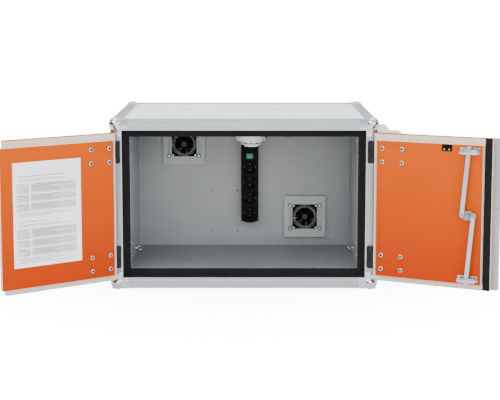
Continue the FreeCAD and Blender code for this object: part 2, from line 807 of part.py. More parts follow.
door_bolt = bolt("door_bolt", "door_outer_thick + door_inner_thick + leaf_thick")
for side, name in ((-1, "left"), (1, "right")):
    places = [Placement(Vector(value(across), value(DOOR_FACE), value(up)), Rotation(Vector(1, 0, 0), 90))
              for across, up in door_bolts(side)]
    carried(side, copies(f"{name}_door_bolts", door_bolt, places))

# Doors, drawn closed
OUTER_LOW = f"{BASE} + profile_width + door_gap"
OUTER_HIGH = f"{TOP} - profile_width - door_gap"
INNER_LOW = f"({BASE} + {SEAL_INSET} + door_inner_gap)"
INNER_HIGH = f"({TOP} - {SEAL_INSET} - door_inner_gap)"
INNER_FACE = f"({FRONT} + door_outer_thick)"
SPINDLE_HOLE = ("lock_x", MIDDLE, "spindle_radius + spindle_gap")
TONGUE_END = "tongue_reach"
RIGHT_START = "(tongue_reach + tongue_gap)"

left_holes = bolt_holes(door_bolts(-1))
outline = rectangle(f"door_gap - {OPEN_SIDE}", OUTER_LOW, "-meeting_gap / 2", OUTER_HIGH)
left_outer = slab("left_door_outer", "XZ", FRONT, "door_outer_thick", [outline], left_holes)
outline = rectangle(f"seal_width + left_inner_gap - {OPEN_SIDE}", INNER_LOW, TONGUE_END, INNER_HIGH)
left_inner = slab("left_door_inner", "XZ", INNER_FACE, "door_inner_thick", [outline], left_holes)
step = rectangle("-meeting_gap / 2", INNER_LOW, TONGUE_END, INNER_HIGH)
cut_slab(left_inner, "XZ", INNER_FACE, "meeting_seal_thick + meeting_seal_gap", [step])
sheet_left = f"(sheet_from_hinge - {AXIS_X})"
sheet_low = f"({MIDDLE} + sheet_raise - sheet_height / 2)"
paper = rectangle(sheet_left, sheet_low, f"{sheet_left} + sheet_width", f"{sheet_low} + sheet_height")
carried(-1, left_outer, left_inner, slab("instruction_sheet", "XZ", DOOR_FACE, "sheet_thick", [paper]))

right_holes = bolt_holes(door_bolts(1)) + [SPINDLE_HOLE]
outline = rectangle("meeting_gap / 2", OUTER_LOW, f"{OPEN_SIDE} - door_gap", OUTER_HIGH)
right_outer = slab("right_door_outer", "XZ", FRONT, "door_outer_thick", [outline], right_holes)
outline = rectangle(RIGHT_START, INNER_LOW, f"{OPEN_SIDE} - seal_width - right_inner_gap", INNER_HIGH)
right_inner = slab("right_door_inner", "XZ", INNER_FACE, "door_inner_thick", [outline], right_holes)
outline = rectangle("-astragal_width / 2", OUTER_LOW, "astragal_width / 2", OUTER_HIGH)
astragal = slab("right_astragal", "XZ", f"{FRONT} - astragal_thick", "astragal_thick", [outline])
soften(astragal, Vector(0, 1, 0), "astragal_corner")
outline = rectangle("meeting_gap / 2", INNER_LOW, f"{RIGHT_START} - meeting_gap", INNER_HIGH)
meeting_seal = slab("meeting_seal", "XZ", INNER_FACE, "meeting_seal_thick", [outline])
outline = rectangle("meeting_gap / 2", OUTER_LOW, f"{RIGHT_START} - meeting_gap", OUTER_HIGH)
add_slab(meeting_seal, "XZ", INNER_FACE, "meeting_seal_tail", [outline])
magnet_z = f"({INNER_HIGH} - trim_step - magnet_height / 2)"
outline = centred("magnet_x", magnet_z, "magnet_width", "magnet_height")
magnet = slab("magnet_plate", "XZ", DOOR_FACE, "magnet_thick", [outline])
screws = [(f"magnet_x {sign} magnet_width / 4", magnet_z, "guide_screw_radius") for sign in "-+"]
add_slab(magnet, "XZ", f"{DOOR_FACE} + magnet_thick", "rivet_height", [], screws)
carried(1, right_outer, right_inner, astragal, meeting_seal, magnet)

# Espagnolette lock: spindle with cam, two rods, guides, rose and handle
CAM_FACE = f"({DOOR_FACE} + cam_boss_height)"
ROD_FACE = f"({CAM_FACE} + cam_thick + rod_gap)"
HANDLE_FACE = f"({FRONT} - rose_thick - handle_gap)"
cam = new_body("lock_cam")
centre = ("lock_x", MIDDLE)
add_slab(cam, "XZ", f"{HANDLE_FACE} - handle_thick / 2",
         f"{CAM_FACE} - {HANDLE_FACE} + handle_thick / 2", [], [(*centre, "spindle_radius")])
add_slab(cam, "XZ", DOOR_FACE, "cam_boss_height", [], [(*centre, "cam_boss_radius")])
add_slab(cam, "XZ", CAM_FACE, "cam_thick", [], [(*centre, "cam_radius")])
add_slab(cam, "XZ", CAM_FACE, "cam_thick", [centred(*centre, "2 * cam_throw", "cam_arm_width")])
PINS = [(f"lock_x {sign} cam_throw", MIDDLE) for sign in "-+"]
add_slab(cam, "XZ", CAM_FACE, "cam_thick", [], [(*pin, "cam_arm_width / 2") for pin in PINS])
add_slab(cam, "XZ", f"{CAM_FACE} + cam_thick", "2 * rod_gap + rod_thick", [],
         [(*pin, "cam_pin_radius") for pin in PINS])
add_slab(cam, "XZ", f"{ROD_FACE} + rod_thick + rod_gap", "cam_pin_head_height", [],
         [(*pin, "cam_pin_head_radius") for pin in PINS])

handle = new_body("lock_handle")
add_slab(handle, "XZ", f"{HANDLE_FACE} - handle_thick", "handle_gap + handle_thick", [],
         [(*centre, "handle_hub_radius")])
grip = rectangle("lock_x", f"{MIDDLE} - handle_width / 2",
                 "lock_x + handle_length", f"{MIDDLE} + handle_width / 2")
add_slab(handle, "XZ", f"{HANDLE_FACE} - handle_thick", "handle_thick", [grip])
cut_slab(handle, "XZ", f"{HANDLE_FACE} - handle_thick / 2", "handle_gap + handle_thick / 2", [], [SPINDLE_HOLE])
rose = slab("handle_rose", "XZ", f"{FRONT} - rose_thick", "rose_thick", [],
            [(*centre, "rose_radius"), SPINDLE_HOLE])
carried(1, cam, handle, rose)

GUIDE_RISE = f"({INNER_HIGH} - {MIDDLE} - guide_inset)"
ROD_TIP = f"({INNER_HIGH} - {MIDDLE} - rod_tip_inset)"
tilt = math.degrees(math.atan2(value("cam_throw"), value(GUIDE_RISE)))
length = value(ROD_TIP) / math.cos(math.radians(tilt))
for sign, name in ((1, "upper_rod"), (-1, "lower_rod")):
    bar = new_body(name)
    tip = f"({ROD_TIP} / cos({tilt}))"
    half, taper = "rod_width / 2", "rod_tip_taper"
    points = [(f"-{half}", "0"), (half, "0"), (half, f"{tip} - {taper}"), (f"{half} - {taper}", tip),
              (f"{taper} - {half}", tip), (f"-{half}", f"{tip} - {taper}")]
    add_slab(bar, "XZ", "0", "rod_thick", [points])
    add_slab(bar, "XZ", "0", "rod_thick", [], [("0", "0", half)])
    cut_slab(bar, "XZ", "0", "rod_thick", [], [("0", "0", "cam_pin_radius + cam_pin_gap")])
    pivot = Vector(value("lock_x") + sign * value("cam_throw"), value(ROD_FACE), value(MIDDLE))
    turn = -tilt if sign > 0 else 180 - tilt
    bar.Placement = Placement(pivot, Rotation(Vector(0, 1, 0), turn))
    carried(1, bar)


def rod_guide(label, height):
    """Bent sheet bridge over one rod with a screw in each foot."""
    half, loop, sheet = "guide_plate_width / 2", "guide_loop_width / 2", "guide_sheet"
    deep = f"({ROD_FACE} + rod_thick + guide_headroom)"
    right = [(half, DOOR_FACE), (half, f"{DOOR_FACE} + {sheet}"),
             (f"{loop} + {sheet}", f"{DOOR_FACE} + {sheet}"),
             (f"{loop} + {sheet}", f"{deep} + {sheet}")]
    inner = [(f"-{loop}", DOOR_FACE), (f"-{loop}", deep), (loop, deep), (loop, DOOR_FACE)]
    mirror = [(f"-({across})", up) for across, up in reversed(right)]
    points = [(f"lock_x + {across}", up) for across, up in right + mirror + inner]
    low = f"{height} - guide_plate_height / 2"
    body = slab(label, "XY", low, "guide_plate_height", [points])
    spots = [(f"lock_x {sign} (guide_plate_width / 4 + guide_loop_width / 4)", height, "guide_screw_radius")
             for sign in "-+"]
    add_slab(body, "XZ", f"{DOOR_FACE} + guide_sheet", "rivet_height", [], spots)
    return body


guides = [rod_guide(f"rod_guide_{n}", f"({MIDDLE} {sign} {GUIDE_RISE})") for n, sign in enumerate("-+")]
carried(1, joined("rod_guides", "Part::Compound", guides))

plates = []
for low in (ROOM_FLOOR, f"{ROOM_TOP} - keeper_thick"):
    outline = centred("lock_x", LOCK_Y, "keeper_width", "keeper_depth")
    plates.append(slab(f"keeper_{len(plates)}", "XY", low, "keeper_thick", [outline, KEEPER_SLOT]))
keep(joined("lock_keepers", "Part::Compound", plates))

outline = centred("reed_x", f"{LINING_FRONT} + trim_step + reed_depth / 2", "reed_width", "reed_depth")
keep(slab("reed_switch", "XY", f"{ROOM_TOP} - reed_height", "reed_height", [outline]))


# Vents: plate, fan frame, rotor and guard
def fan_rotor(label, across, up):
    """Hub with twisted blades turning on the frame's axle."""
    body = new_body(label)
    add_slab(body, "XZ", "0", "rotor_depth", [], [("0", "0", "hub_radius"), ("0", "0", "axle_radius + axle_gap")])
    add_slab(body, "XZ", "-strut_thick / 2", "strut_thick / 2", [], [("0", "0", "hub_radius")])
    sections = []
    for reach, turn in (("hub_radius - blade_thick", "blade_root_twist"), ("rotor_radius", "blade_tip_twist")):
        sketch = new_sketch(body, "YZ", reach)
        chord, thick = "(rotor_depth - 2 * blade_thick) / 2", "blade_thick / 2"
        points = []
        for a, b in ((-1, -1), (1, -1), (1, 1), (-1, 1)):
            points.append((f"rotor_depth / 2 + {a} * {chord} * cos({turn}) - {b} * {thick} * sin({turn})",
                           f"{a} * {chord} * sin({turn}) + {b} * {thick} * cos({turn})"))
        draw_polygon(sketch, points)
        sketch.Visibility = False
        sections.append(sketch)
    doc.recompute()
    loft = body.newObject("PartDesign::AdditiveLoft", f"{label}_blade")
    loft.Profile = sections[0]
    loft.Sections = sections[1:]
    loft.Ruled = True
    doc.recompute()
    pattern = body.newObject("PartDesign::PolarPattern", f"{label}_blades")
    pattern.Originals = [loft]
    axis = next(f for f in body.Origin.OriginFeatures if f.Role == "Y_Axis")
    pattern.Axis = (axis, [""])
    pattern.Angle = 360
    pattern.Occurrences = int(value("blade_count"))
    body.Tip = pattern
    level = value(f"{FAN_FRONT} + guard_wire + strut_thick / 2")
    body.Placement = Placement(Vector(value(across), level, value(up)), Rotation())
    return body


def fan_frame(label, across, up):
    """Square frame with round bore, crossed struts and the axle."""
    body = new_body(label)
    holes = [(*spot, "fan_screw_radius / 2") for spot in ring_grid(across, up, "fan_screw_pitch", "fan_screw_pitch")]
    add_slab(body, "XZ", FAN_FRONT, "fan_depth", [centred(across, up, "fan_size", "fan_size")],
             [(across, up, "fan_bore_radius")] + holes)
    back = f"{FAN_FRONT} + fan_depth - strut_thick"
    long = "2 * fan_bore_radius + strut_width / 2"
    add_slab(body, "XZ", back, "strut_thick", [centred(across, up, long, "strut_width")])
    add_slab(body, "XZ", back, "strut_thick", [centred(across, up, "strut_width", long)])
    add_slab(body, "XZ", back, "strut_thick", [], [(across, up, "hub_radius")])
    stub = "rotor_depth - strut_thick / 2"
    add_slab(body, "XZ", f"{back} - ({stub})", stub, [], [(across, up, "axle_radius")])
    return body


def fan_guard(label, across, up):
    """Concentric rings on crossed bars, held by four screws."""
    body = new_body(label)
    low = f"{FAN_FRONT} - guard_wire"
    for number in range(int(value("guard_rings"))):
        outer = f"guard_radius - {number} * guard_step"
        add_slab(body, "XZ", low, "guard_wire", [], [(across, up, outer), (across, up, f"{outer} - guard_wire")])
    add_slab(body, "XZ", low, "guard_wire", [], [(across, up, "guard_boss_radius")])
    for lean in (1, -1):
        half, wide = "(fan_screw_pitch / 2)", "(guard_bar_width / 2)"
        points = [(f"{across} + {half} {s} {wide}" if t > 0 else f"{across} - {half} {s} {wide}",
                   f"{up} {'+' if t * lean > 0 else '-'} {half} {'-' if (s == '+') == (lean > 0) else '+'} {wide}")
                  for t, s in ((1, "-"), (1, "+"), (-1, "+"), (-1, "-"))]
        add_slab(body, "XZ", low, "guard_wire", [points])
    spots = ring_grid(across, up, "fan_screw_pitch", "fan_screw_pitch")
    add_slab(body, "XZ", f"{low} - rivet_height / 2", "guard_wire + rivet_height / 2", [],
             [(*spot, "fan_screw_radius") for spot in spots])
    return body


PLATE_FRONT = f"({BACK_WALL} - vent_plate_thick)"
FAN_FRONT = f"({PLATE_FRONT} - fan_proud)"
guards = []
for name, (across, up) in zip(("upper", "lower"), VENTS):
    holes = bolt_holes(ring_grid(across, up, "nut_pitch_x", "nut_pitch_z"))
    outlines = [centred(across, up, size, size) for size in ("vent_plate_size", FAN_WINDOW)]
    keep(slab(f"{name}_vent_plate", "XZ", PLATE_FRONT, "vent_plate_thick", outlines, holes))
    keep(fan_frame(f"{name}_fan_frame", across, up), fan_rotor(f"{name}_fan_rotor", across, up))
    guards.append(fan_guard(f"{name}_fan_guard", across, up))
keep(joined("fan_guards", "Part::Compound", guards))

stud = turned("vent_nut", [
    ("0", "-nut_height"), ("nut_radius / 2", "-nut_height"), ("nut_shoulder_radius", "-nut_shoulder"),
    ("nut_radius", "-nut_height / 3"), ("nut_radius", "0"), ("bolt_radius", "0"),
    ("bolt_radius", "vent_plate_thick + back_wall_thick"), ("0", "vent_plate_thick + back_wall_thick")])
places = [Placement(Vector(value(across), value(PLATE_FRONT), value(up)), AXES["Y"])
          for across, up in NUT_HOLES]
keep(copies("vent_nuts", stud, places))

# Power strip with rocker and four sockets on the back wall
STRIP_FRONT = f"({BACK_WALL} - strip_depth)"
STRIP_TOP = f"({ROOM_TOP} - strip_share * ({ROOM_TOP} - {ROOM_FLOOR} - strip_height))"
STRIP_BOTTOM = f"({STRIP_TOP} - strip_height)"
ROCKER_Z = f"({STRIP_TOP} - rocker_drop)"
SOCKETS = [f"({STRIP_BOTTOM} + socket_rise + {n} * socket_pitch)" for n in range(int(value("socket_count")))]
strip = new_body("power_strip")
half = "strip_width / 2"
outline = rectangle(f"strip_x - {half}", STRIP_BOTTOM, f"strip_x + {half}", STRIP_TOP)
add_slab(strip, "XZ", STRIP_FRONT, "strip_depth", [outline])
soften(strip, Vector(0, 0, 1), "strip_edge", lambda edge: edge.CenterOfMass.y < value(STRIP_FRONT) + 1)


def draw_bow(sketch, middle, half_width, level, drop):
    """Chord with an arc that hangs below it."""
    radius = f"(({half_width}) ^ 2 + ({drop}) ^ 2) / (2 * {drop})"
    across, wide, high, deep = value(middle), value(half_width), value(level), value(drop)
    left, right = Vector(across - wide, high, 0), Vector(across + wide, high, 0)
    arc = sketch.addGeometry(Part.Arc(left, Vector(across, high - deep, 0), right), False)
    chord = sketch.addGeometry(Part.LineSegment(right, left), False)
    sketch.addConstraint(Sketcher.Constraint("Coincident", arc, 1, chord, 2))
    sketch.addConstraint(Sketcher.Constraint("Coincident", arc, 2, chord, 1))
    point_at(sketch, chord, 1, f"{middle} + {half_width}", level)
    point_at(sketch, chord, 2, f"{middle} - {half_width}", level)
    rule = sketch.addConstraint(Sketcher.Constraint("Radius", arc, value(radius)))
    sketch.setExpression(f"Constraints[{rule}]", bound(radius))


sketch = new_sketch(strip, "XZ", f"-({STRIP_FRONT}) - strip_depth")
draw_bow(sketch, "strip_x", f"({half} - strip_edge)", STRIP_BOTTOM, "strip_arch")
bow = strip.newObject("PartDesign::Pad", "power_strip_bow")
bow.Profile = sketch
bow.setExpression("Length", bound("strip_depth"))
sketch.Visibility = False
doc.recompute()
cut_slab(strip, "XZ", STRIP_FRONT, "socket_depth", [], [("strip_x", up, "socket_radius") for up in SOCKETS])
well = centred("strip_x", ROCKER_Z, "rocker_width + 2 * rocker_gap", "rocker_height + 2 * rocker_gap")
cut_slab(strip, "XZ", STRIP_FRONT, "rocker_depth", [well])
keep(strip)

insert = new_body("socket_insert")
reach = "(socket_radius - insert_gap)"
pins = [("0", f"{sign}contact_spacing / 2", "contact_radius") for sign in ("", "-")]
add_slab(insert, "XZ", "-insert_thick", "insert_thick", [], [("0", "0", reach)] + pins)
for sign in "-+":
    clip = rectangle(f"{sign}({reach} - insert_thick)", "-earth_width / 2",
                     f"{sign}({reach} - contact_radius / 2)", "earth_width / 2")
    add_slab(insert, "XZ", "-insert_thick - earth_reach", "earth_reach", [clip])
floors = [Placement(Vector(value("strip_x"), value(f"{STRIP_FRONT} + socket_depth"), value(up)), Rotation())
          for up in SOCKETS]
keep(copies("socket_inserts", insert, floors))

high, root = "rocker_height / 2", "rocker_height / 2 * rocker_root_share"
side_view = [("-rocker_horn", f"-{high}"), ("0", "0"), ("-rocker_horn", high),
             ("rocker_root", root), ("rocker_root", f"-{root}")]
rocker = slab("strip_rocker", "YZ", "-rocker_width / 2", "rocker_width", [side_view])
rocker.Placement = Placement(Vector(value("strip_x"), value(STRIP_FRONT), value(ROCKER_Z)),
                             Rotation(Vector(1, 0, 0), value("rocker_tilt")))
keep(rocker)

# Ceiling fittings: detector, terminal with lamp
base, step_radius, nose = "detector_base_radius", "detector_step_radius", "detector_nose_radius"
step_low = "-(detector_base_drop + detector_step_drop)"
detector = turned("smoke_detector", [
    ("0", "0"), (base, "0"), (base, "-detector_rim"), (f"{base} - detector_taper", "-detector_base_drop"),
    (step_radius, "-detector_base_drop"), (step_radius, step_low), (nose, step_low),
    (f"{nose} - detector_taper / 2", f"{step_low} - detector_nose_drop"), ("0", f"{step_low} - detector_nose_drop")])
middle = f"{step_low} + detector_step_drop / 2"
slot = cut_slab(detector, "XZ", f"-{step_radius} - cut_over", "cut_over + detector_slot_depth",
                [centred("0", middle, "detector_slot_width", "detector_slot_height")])
ring = detector.newObject("PartDesign::PolarPattern", "detector_slots")
ring.Originals = [slot]
ring.Axis = (next(f for f in detector.Origin.OriginFeatures if f.Role == "Z_Axis"), [""])
ring.Angle = 360
ring.Occurrences = int(value("detector_slot_count"))
detector.Tip = ring
detector.Placement.Base = Vector(value("detector_x"), value(f"{FRONT} + detector_depth"), value(ROOM_TOP))
keep(detector)

TERMINAL_X = "(detector_x + terminal_side)"
TERMINAL_Y = f"({FRONT} + detector_depth - terminal_ahead)"
terminal = box("terminal_block", (f"{TERMINAL_X} - terminal_width / 2", TERMINAL_Y,
                                  f"{ROOM_TOP} - terminal_drop"),
               ("terminal_width", "terminal_thick", "terminal_drop"))
lamp_x, lamp_y = f"{TERMINAL_X} + lamp_side", f"{TERMINAL_Y} + terminal_thick / 2"
stem = rod("lamp_stem", "Z", (lamp_x, lamp_y, f"{ROOM_TOP} - lamp_drop + lamp_radius"),
           "lamp_radius", "lamp_drop - lamp_radius")
bulb = doc.addObject("Part::Sphere", "lamp_bulb")
bulb.setExpression("Radius", bound("lamp_radius"))
bulb.Placement.Base = Vector(value(lamp_x), value(lamp_y), value(f"{ROOM_TOP} - lamp_drop + lamp_radius"))
lamp = joined("lamp", "Part::MultiFuse", [stem, bulb])
keep(joined("status_module", "Part::Compound", [terminal, lamp]))

# Lashing eyes on the side walls
washer = rod("eye_washer", "Z", ("0", "0", "0"), "eye_washer_radius", "eye_washer_thick")
shank = rod("eye_shank", "Z", ("0", "0", "0"), "eye_shank_radius", "eye_washer_thick + eye_shank")
ring = doc.addObject("Part::Torus", "eye_ring")
ring.setExpression("Radius1", bound("eye_ring_radius"))
ring.setExpression("Radius2", bound("eye_wire_radius"))
ring.Placement.Rotation = Rotation(Vector(0, 1, 0), 90)
ring.setExpression("Placement.Base.z", bound("eye_washer_thick + eye_shank + eye_ring_radius"))
eye = joined("lashing_eye", "Part::MultiFuse", [washer, shank, ring])
spots = []
for side in (-1, 1):
    spot = Vector(side * value(ROOM_SIDE), value(f"{FRONT} + eye_depth"), value(f"{ROOM_FLOOR} + eye_rise"))
    inward = Rotation(Vector(0, 0, 1), Vector(-side, 0, 0))
    spots.append(Placement(spot, inward.multiply(Rotation(Vector(0, 0, 1), 90 + value("eye_turn")))))
keep(copies("lashing_eyes", eye, spots))


# Boxes on the right side wall, each with its lid outwards
def side_box(name, depth, length, reach, tall):
    """Body of a wall box and its lid."""
    low, high = f"{FRONT} + {depth}", f"{FRONT} + {depth} + {length}"
    top = f"({TOP} - box_drop)"
    outline = rectangle(low, f"{top} - {tall}", high, top)
    foot = f"({SIDE} - profile_wall)"
    joint = f"({SIDE} + {reach} - box_lid_thick - box_joint)"
    body = slab(f"{name}_body", "YZ", foot, f"{joint} - {foot}", [outline])
    soften(body, Vector(1, 0, 0), "box_corner")
    inset = rectangle(f"{low} + box_joint", f"{top} - {tall} + box_joint",
                      f"{high} - box_joint", f"{top} - box_joint")
    add_slab(body, "YZ", joint, "box_joint", [inset])
    lid = slab(f"{name}_lid", "YZ", f"{joint} + box_joint", "box_lid_thick", [outline])
    soften(lid, Vector(1, 0, 0), "box_corner")
    return body, lid


FRONT_BOX = f"(box_share * ({REAR} - {FRONT} - front_box_length - rear_box_length))"
REAR_BOX = f"({FRONT_BOX} + front_box_length + box_spacing)"
boxes = [side_box(name, depth, *(f"{name}_{part}" for part in ("length", "reach", "height")))
         for name, depth in (("front_box", FRONT_BOX), ("rear_box", REAR_BOX))]
for label, parts in zip(("side_boxes", "side_box_lids"), zip(*boxes)):
    keep(joined(label, "Part::Compound", list(parts)))

# Outlets of the fans and the cable gland on the rear wall
OUTLET_FACE = f"({REAR} - profile_wall)"
frames = []
for number, (across, up) in enumerate(VENTS):
    frame = slab(f"outlet_{number}", "XZ", OUTLET_FACE, "outlet_thick",
                 [centred(across, up, "outlet_size", "outlet_size"),
                  centred(across, up, "outlet_opening", "outlet_opening")])
    for bar in range(int(value("louvre_count"))):
        level = f"{up} - outlet_opening / 2 + outlet_opening * ({bar} + 1) / (louvre_count + 1)"
        add_slab(frame, "XZ", OUTLET_FACE, "outlet_thick",
                 [centred(across, level, "outlet_opening + louvre_bar / 2", "louvre_bar")])
    frames.append(frame)
keep(joined("rear_outlets", "Part::Compound", frames))

nut = "gland_radius"
gland = turned("cable_gland", [
    ("gland_bore", "-core_thick"), (f"{nut} - profile_wall", "-core_thick"), (f"{nut} - profile_wall", "0"),
    (nut, "0"), (nut, "gland_nut_length"), ("gland_top_radius", "gland_length"), ("gland_bore", "gland_length")])
gland.Placement = Placement(Vector(value(GLAND_X), value(OUTLET_FACE), value(GLAND_Z)), AXES["Y"])
keep(gland)

# Check every object, then write one file for each node
doc.recompute()
failed = [item.Name for item in doc.Objects if "Invalid" in item.State or "Error" in item.State]
if failed:
    raise RuntimeError(f"failed objects: {failed}")
for node in NODES:
    if node.Shape.isNull() or not node.Shape.isValid():
        raise RuntimeError(f"{node.Label} has no valid shape")

os.makedirs("parts", exist_ok=True)
for node in NODES:
    node.Shape.exportStep(f"parts/{node.Label}.step")
print(len(NODES), "nodes written")
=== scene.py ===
"""Looks of a battery charging cabinet in flight-case style.

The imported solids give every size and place. This script dresses them with
finishes, adds the small parts and prints that carry no load, and sets the
floor, the light and the camera. Small parts are placed and sized in
millimetres, which MM turns into the metres of the frame.
"""
import logging
import math
from dataclasses import dataclass
from enum import Enum
from functools import cache
from typing import Callable, Iterable, Sequence, Union

import bmesh
import bpy
from mathutils import Euler, Matrix, Vector


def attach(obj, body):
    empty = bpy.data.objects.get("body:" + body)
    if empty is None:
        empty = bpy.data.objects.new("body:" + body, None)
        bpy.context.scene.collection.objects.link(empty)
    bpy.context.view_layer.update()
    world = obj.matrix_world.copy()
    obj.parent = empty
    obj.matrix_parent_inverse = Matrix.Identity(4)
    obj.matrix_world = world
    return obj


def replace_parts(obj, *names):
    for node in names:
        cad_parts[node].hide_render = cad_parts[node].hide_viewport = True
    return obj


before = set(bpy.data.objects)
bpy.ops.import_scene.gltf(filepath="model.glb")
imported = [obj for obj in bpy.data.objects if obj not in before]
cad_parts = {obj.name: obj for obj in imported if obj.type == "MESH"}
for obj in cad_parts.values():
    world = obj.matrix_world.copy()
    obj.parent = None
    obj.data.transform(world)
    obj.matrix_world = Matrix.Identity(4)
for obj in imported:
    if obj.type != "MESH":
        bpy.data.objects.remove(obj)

logging.basicConfig(level=logging.INFO, format="%(name)s: %(message)s")
LOG = logging.getLogger("cabinet")
MM = 0.001
Colour = tuple[float, float, float]
Point = tuple[float, float, float]
Places = list[tuple[Matrix, str]]
Socket = bpy.types.NodeSocket
Value = Union[Socket, float]
NODES: dict[str, bpy.types.Object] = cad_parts


def to_linear(red: int, green: int, blue: int) -> Colour:
    """Turn a screen colour, 0 to 255, into the light values that shaders use."""
    parts = [part / 255 for part in (red, green, blue)]
    return tuple(p / 12.92 if p <= 0.04045 else ((p + 0.055) / 1.055) ** 2.4 for p in parts)


def shade(colour: Colour, share: float) -> Colour:
    """A colour made lighter or darker, up to full light."""
    return tuple(min(1.0, part * share) for part in colour)


class Direction(Enum):
    """Way that a brushed surface runs, as the squeeze of its streaks."""

    ALONG_X = (1.0, 40.0, 40.0)
    ALONG_Y = (40.0, 1.0, 40.0)
    ALONG_Z = (40.0, 40.0, 1.0)


HINGE_X, HINGE_Y = 372.4, -300.5


@dataclass(frozen=True)
class DoorFrame:
    """Turn from a closed door to the same door as it stands open.

    Attributes:
        name: left or right.
        side: -1 for the left door, 1 for the right one.
        angle: how far the door stands open, in degrees.
    """

    name: str
    side: int
    angle: float

    @property
    def body(self) -> str:
        """The body that the door is."""
        return f"{self.name}_door"

    def matrix(self) -> Matrix:
        """Matrix that carries closed coordinates to the open door."""
        pin = Matrix.Translation(Vector((self.side * HINGE_X, HINGE_Y, 0)) * MM)
        return pin @ Matrix.Rotation(math.radians(self.side * self.angle), 4, "Z") @ pin.inverted()

    def mapping(self) -> dict[str, Vector]:
        """Inputs of a Mapping node that undoes the swing."""
        undo = self.matrix().inverted()
        return {"Location": undo.to_translation(), "Rotation": Vector(undo.to_euler())}


LEFT_DOOR = DoorFrame("left", side=-1, angle=145.0)
RIGHT_DOOR = DoorFrame("right", side=1, angle=155.0)
DOORS = (LEFT_DOOR, RIGHT_DOOR)


class Canvas:
    """Short calls for placing and wiring the nodes of one tree."""

    def __init__(self, tree: bpy.types.NodeTree) -> None:
        """Keep the tree that is being filled."""
        self.tree = tree

    def add(self, kind: str, inputs: dict | None = None, **settings: object) -> bpy.types.Node:
        """Add a node.

        Args:
            kind: the node's type name.
            inputs: values or sockets by input name or number.
            settings: the node's own options.

        Returns:
            The new node.
        """
        node = self.tree.nodes.new(kind)
        for name, setting in settings.items():
            setattr(node, name, setting)
        for name, value in (inputs or {}).items():
            self.feed(node.inputs[name], value)
        return node

    def feed(self, socket: Socket, value: object) -> None:
        """Link an output into a socket, or set the socket's own value.

        Args:
            socket: the input.
            value: an output or a plain value.
        """
        if isinstance(value, Socket):
            self.tree.links.new(value, socket)
        else:
            socket.default_value = value

    def math(self, operation: str, first: Value, second: Value = 0.0, clamp: bool = False) -> Socket:
        """Output of a Math node on two values or sockets."""
        node = self.add("ShaderNodeMath", {0: first, 1: second}, operation=operation, use_clamp=clamp)
        return node.outputs[0]

    def plus(self, first: Value, second: Value) -> Socket:
        """Sum of two values."""
        return self.math("ADD", first, second)

    def less(self, first: Value, second: Value) -> Socket:
        """First value less the second."""
        return self.math("SUBTRACT", first, second)

    def times(self, first: Value, second: Value) -> Socket:
        """Product of two values."""
        return self.math("MULTIPLY", first, second)

    def apart(self, first: Value, second: Value) -> Socket:
        """Distance between two values."""
        return self.math("ABSOLUTE", self.less(first, second))

    def between(self, value: Value, low: Value, high: Value) -> Socket:
        """1 where a value lies between two others."""
        return self.times(self.math("GREATER_THAN", value, low), self.math("LESS_THAN", value, high))

    def step(self, value: Value, low: float, high: float, start: float = 0.0, end: float = 1.0) -> Socket:
        """Output that runs smoothly from start to end between two levels of a value."""
        inputs = {0: value, 1: low, 2: high, 3: start, 4: end}
        return self.add("ShaderNodeMapRange", inputs, interpolation_type="SMOOTHSTEP").outputs[0]

    def mix(self, factor: Value, first: Socket | Colour, second: Socket | Colour) -> Socket:
        """Output of a colour mix; colours are three numbers or sockets."""
        first, second = (part if isinstance(part, Socket) else (*part, 1.0) for part in (first, second))
        return self.add("ShaderNodeMix", {0: factor, 6: first, 7: second}, data_type="RGBA").outputs[2]

    def parts(self, vector: Socket) -> Sequence[Socket]:
        """The three parts of a vector."""
        return self.add("ShaderNodeSeparateXYZ", {0: vector}).outputs

    def length(self, vector: Socket) -> Socket:
        """Length of a vector."""
        return self.add("ShaderNodeVectorMath", {0: vector}, operation="LENGTH").outputs["Value"]

    def mapped(self, vector: Socket, **inputs: Sequence[float]) -> Socket:
        """Vector after a Mapping node."""
        return self.add("ShaderNodeMapping", {"Vector": vector, **inputs}).outputs[0]

    def noise(self, vector: Socket, scale: Value, detail: float, **more: float) -> Socket:
        """Cloudy noise, 0 to 1; more inputs of the node go by their names."""
        inputs = {"Vector": vector, "Scale": scale, "Detail": detail, **more}
        return self.add("ShaderNodeTexNoise", inputs).outputs[0]


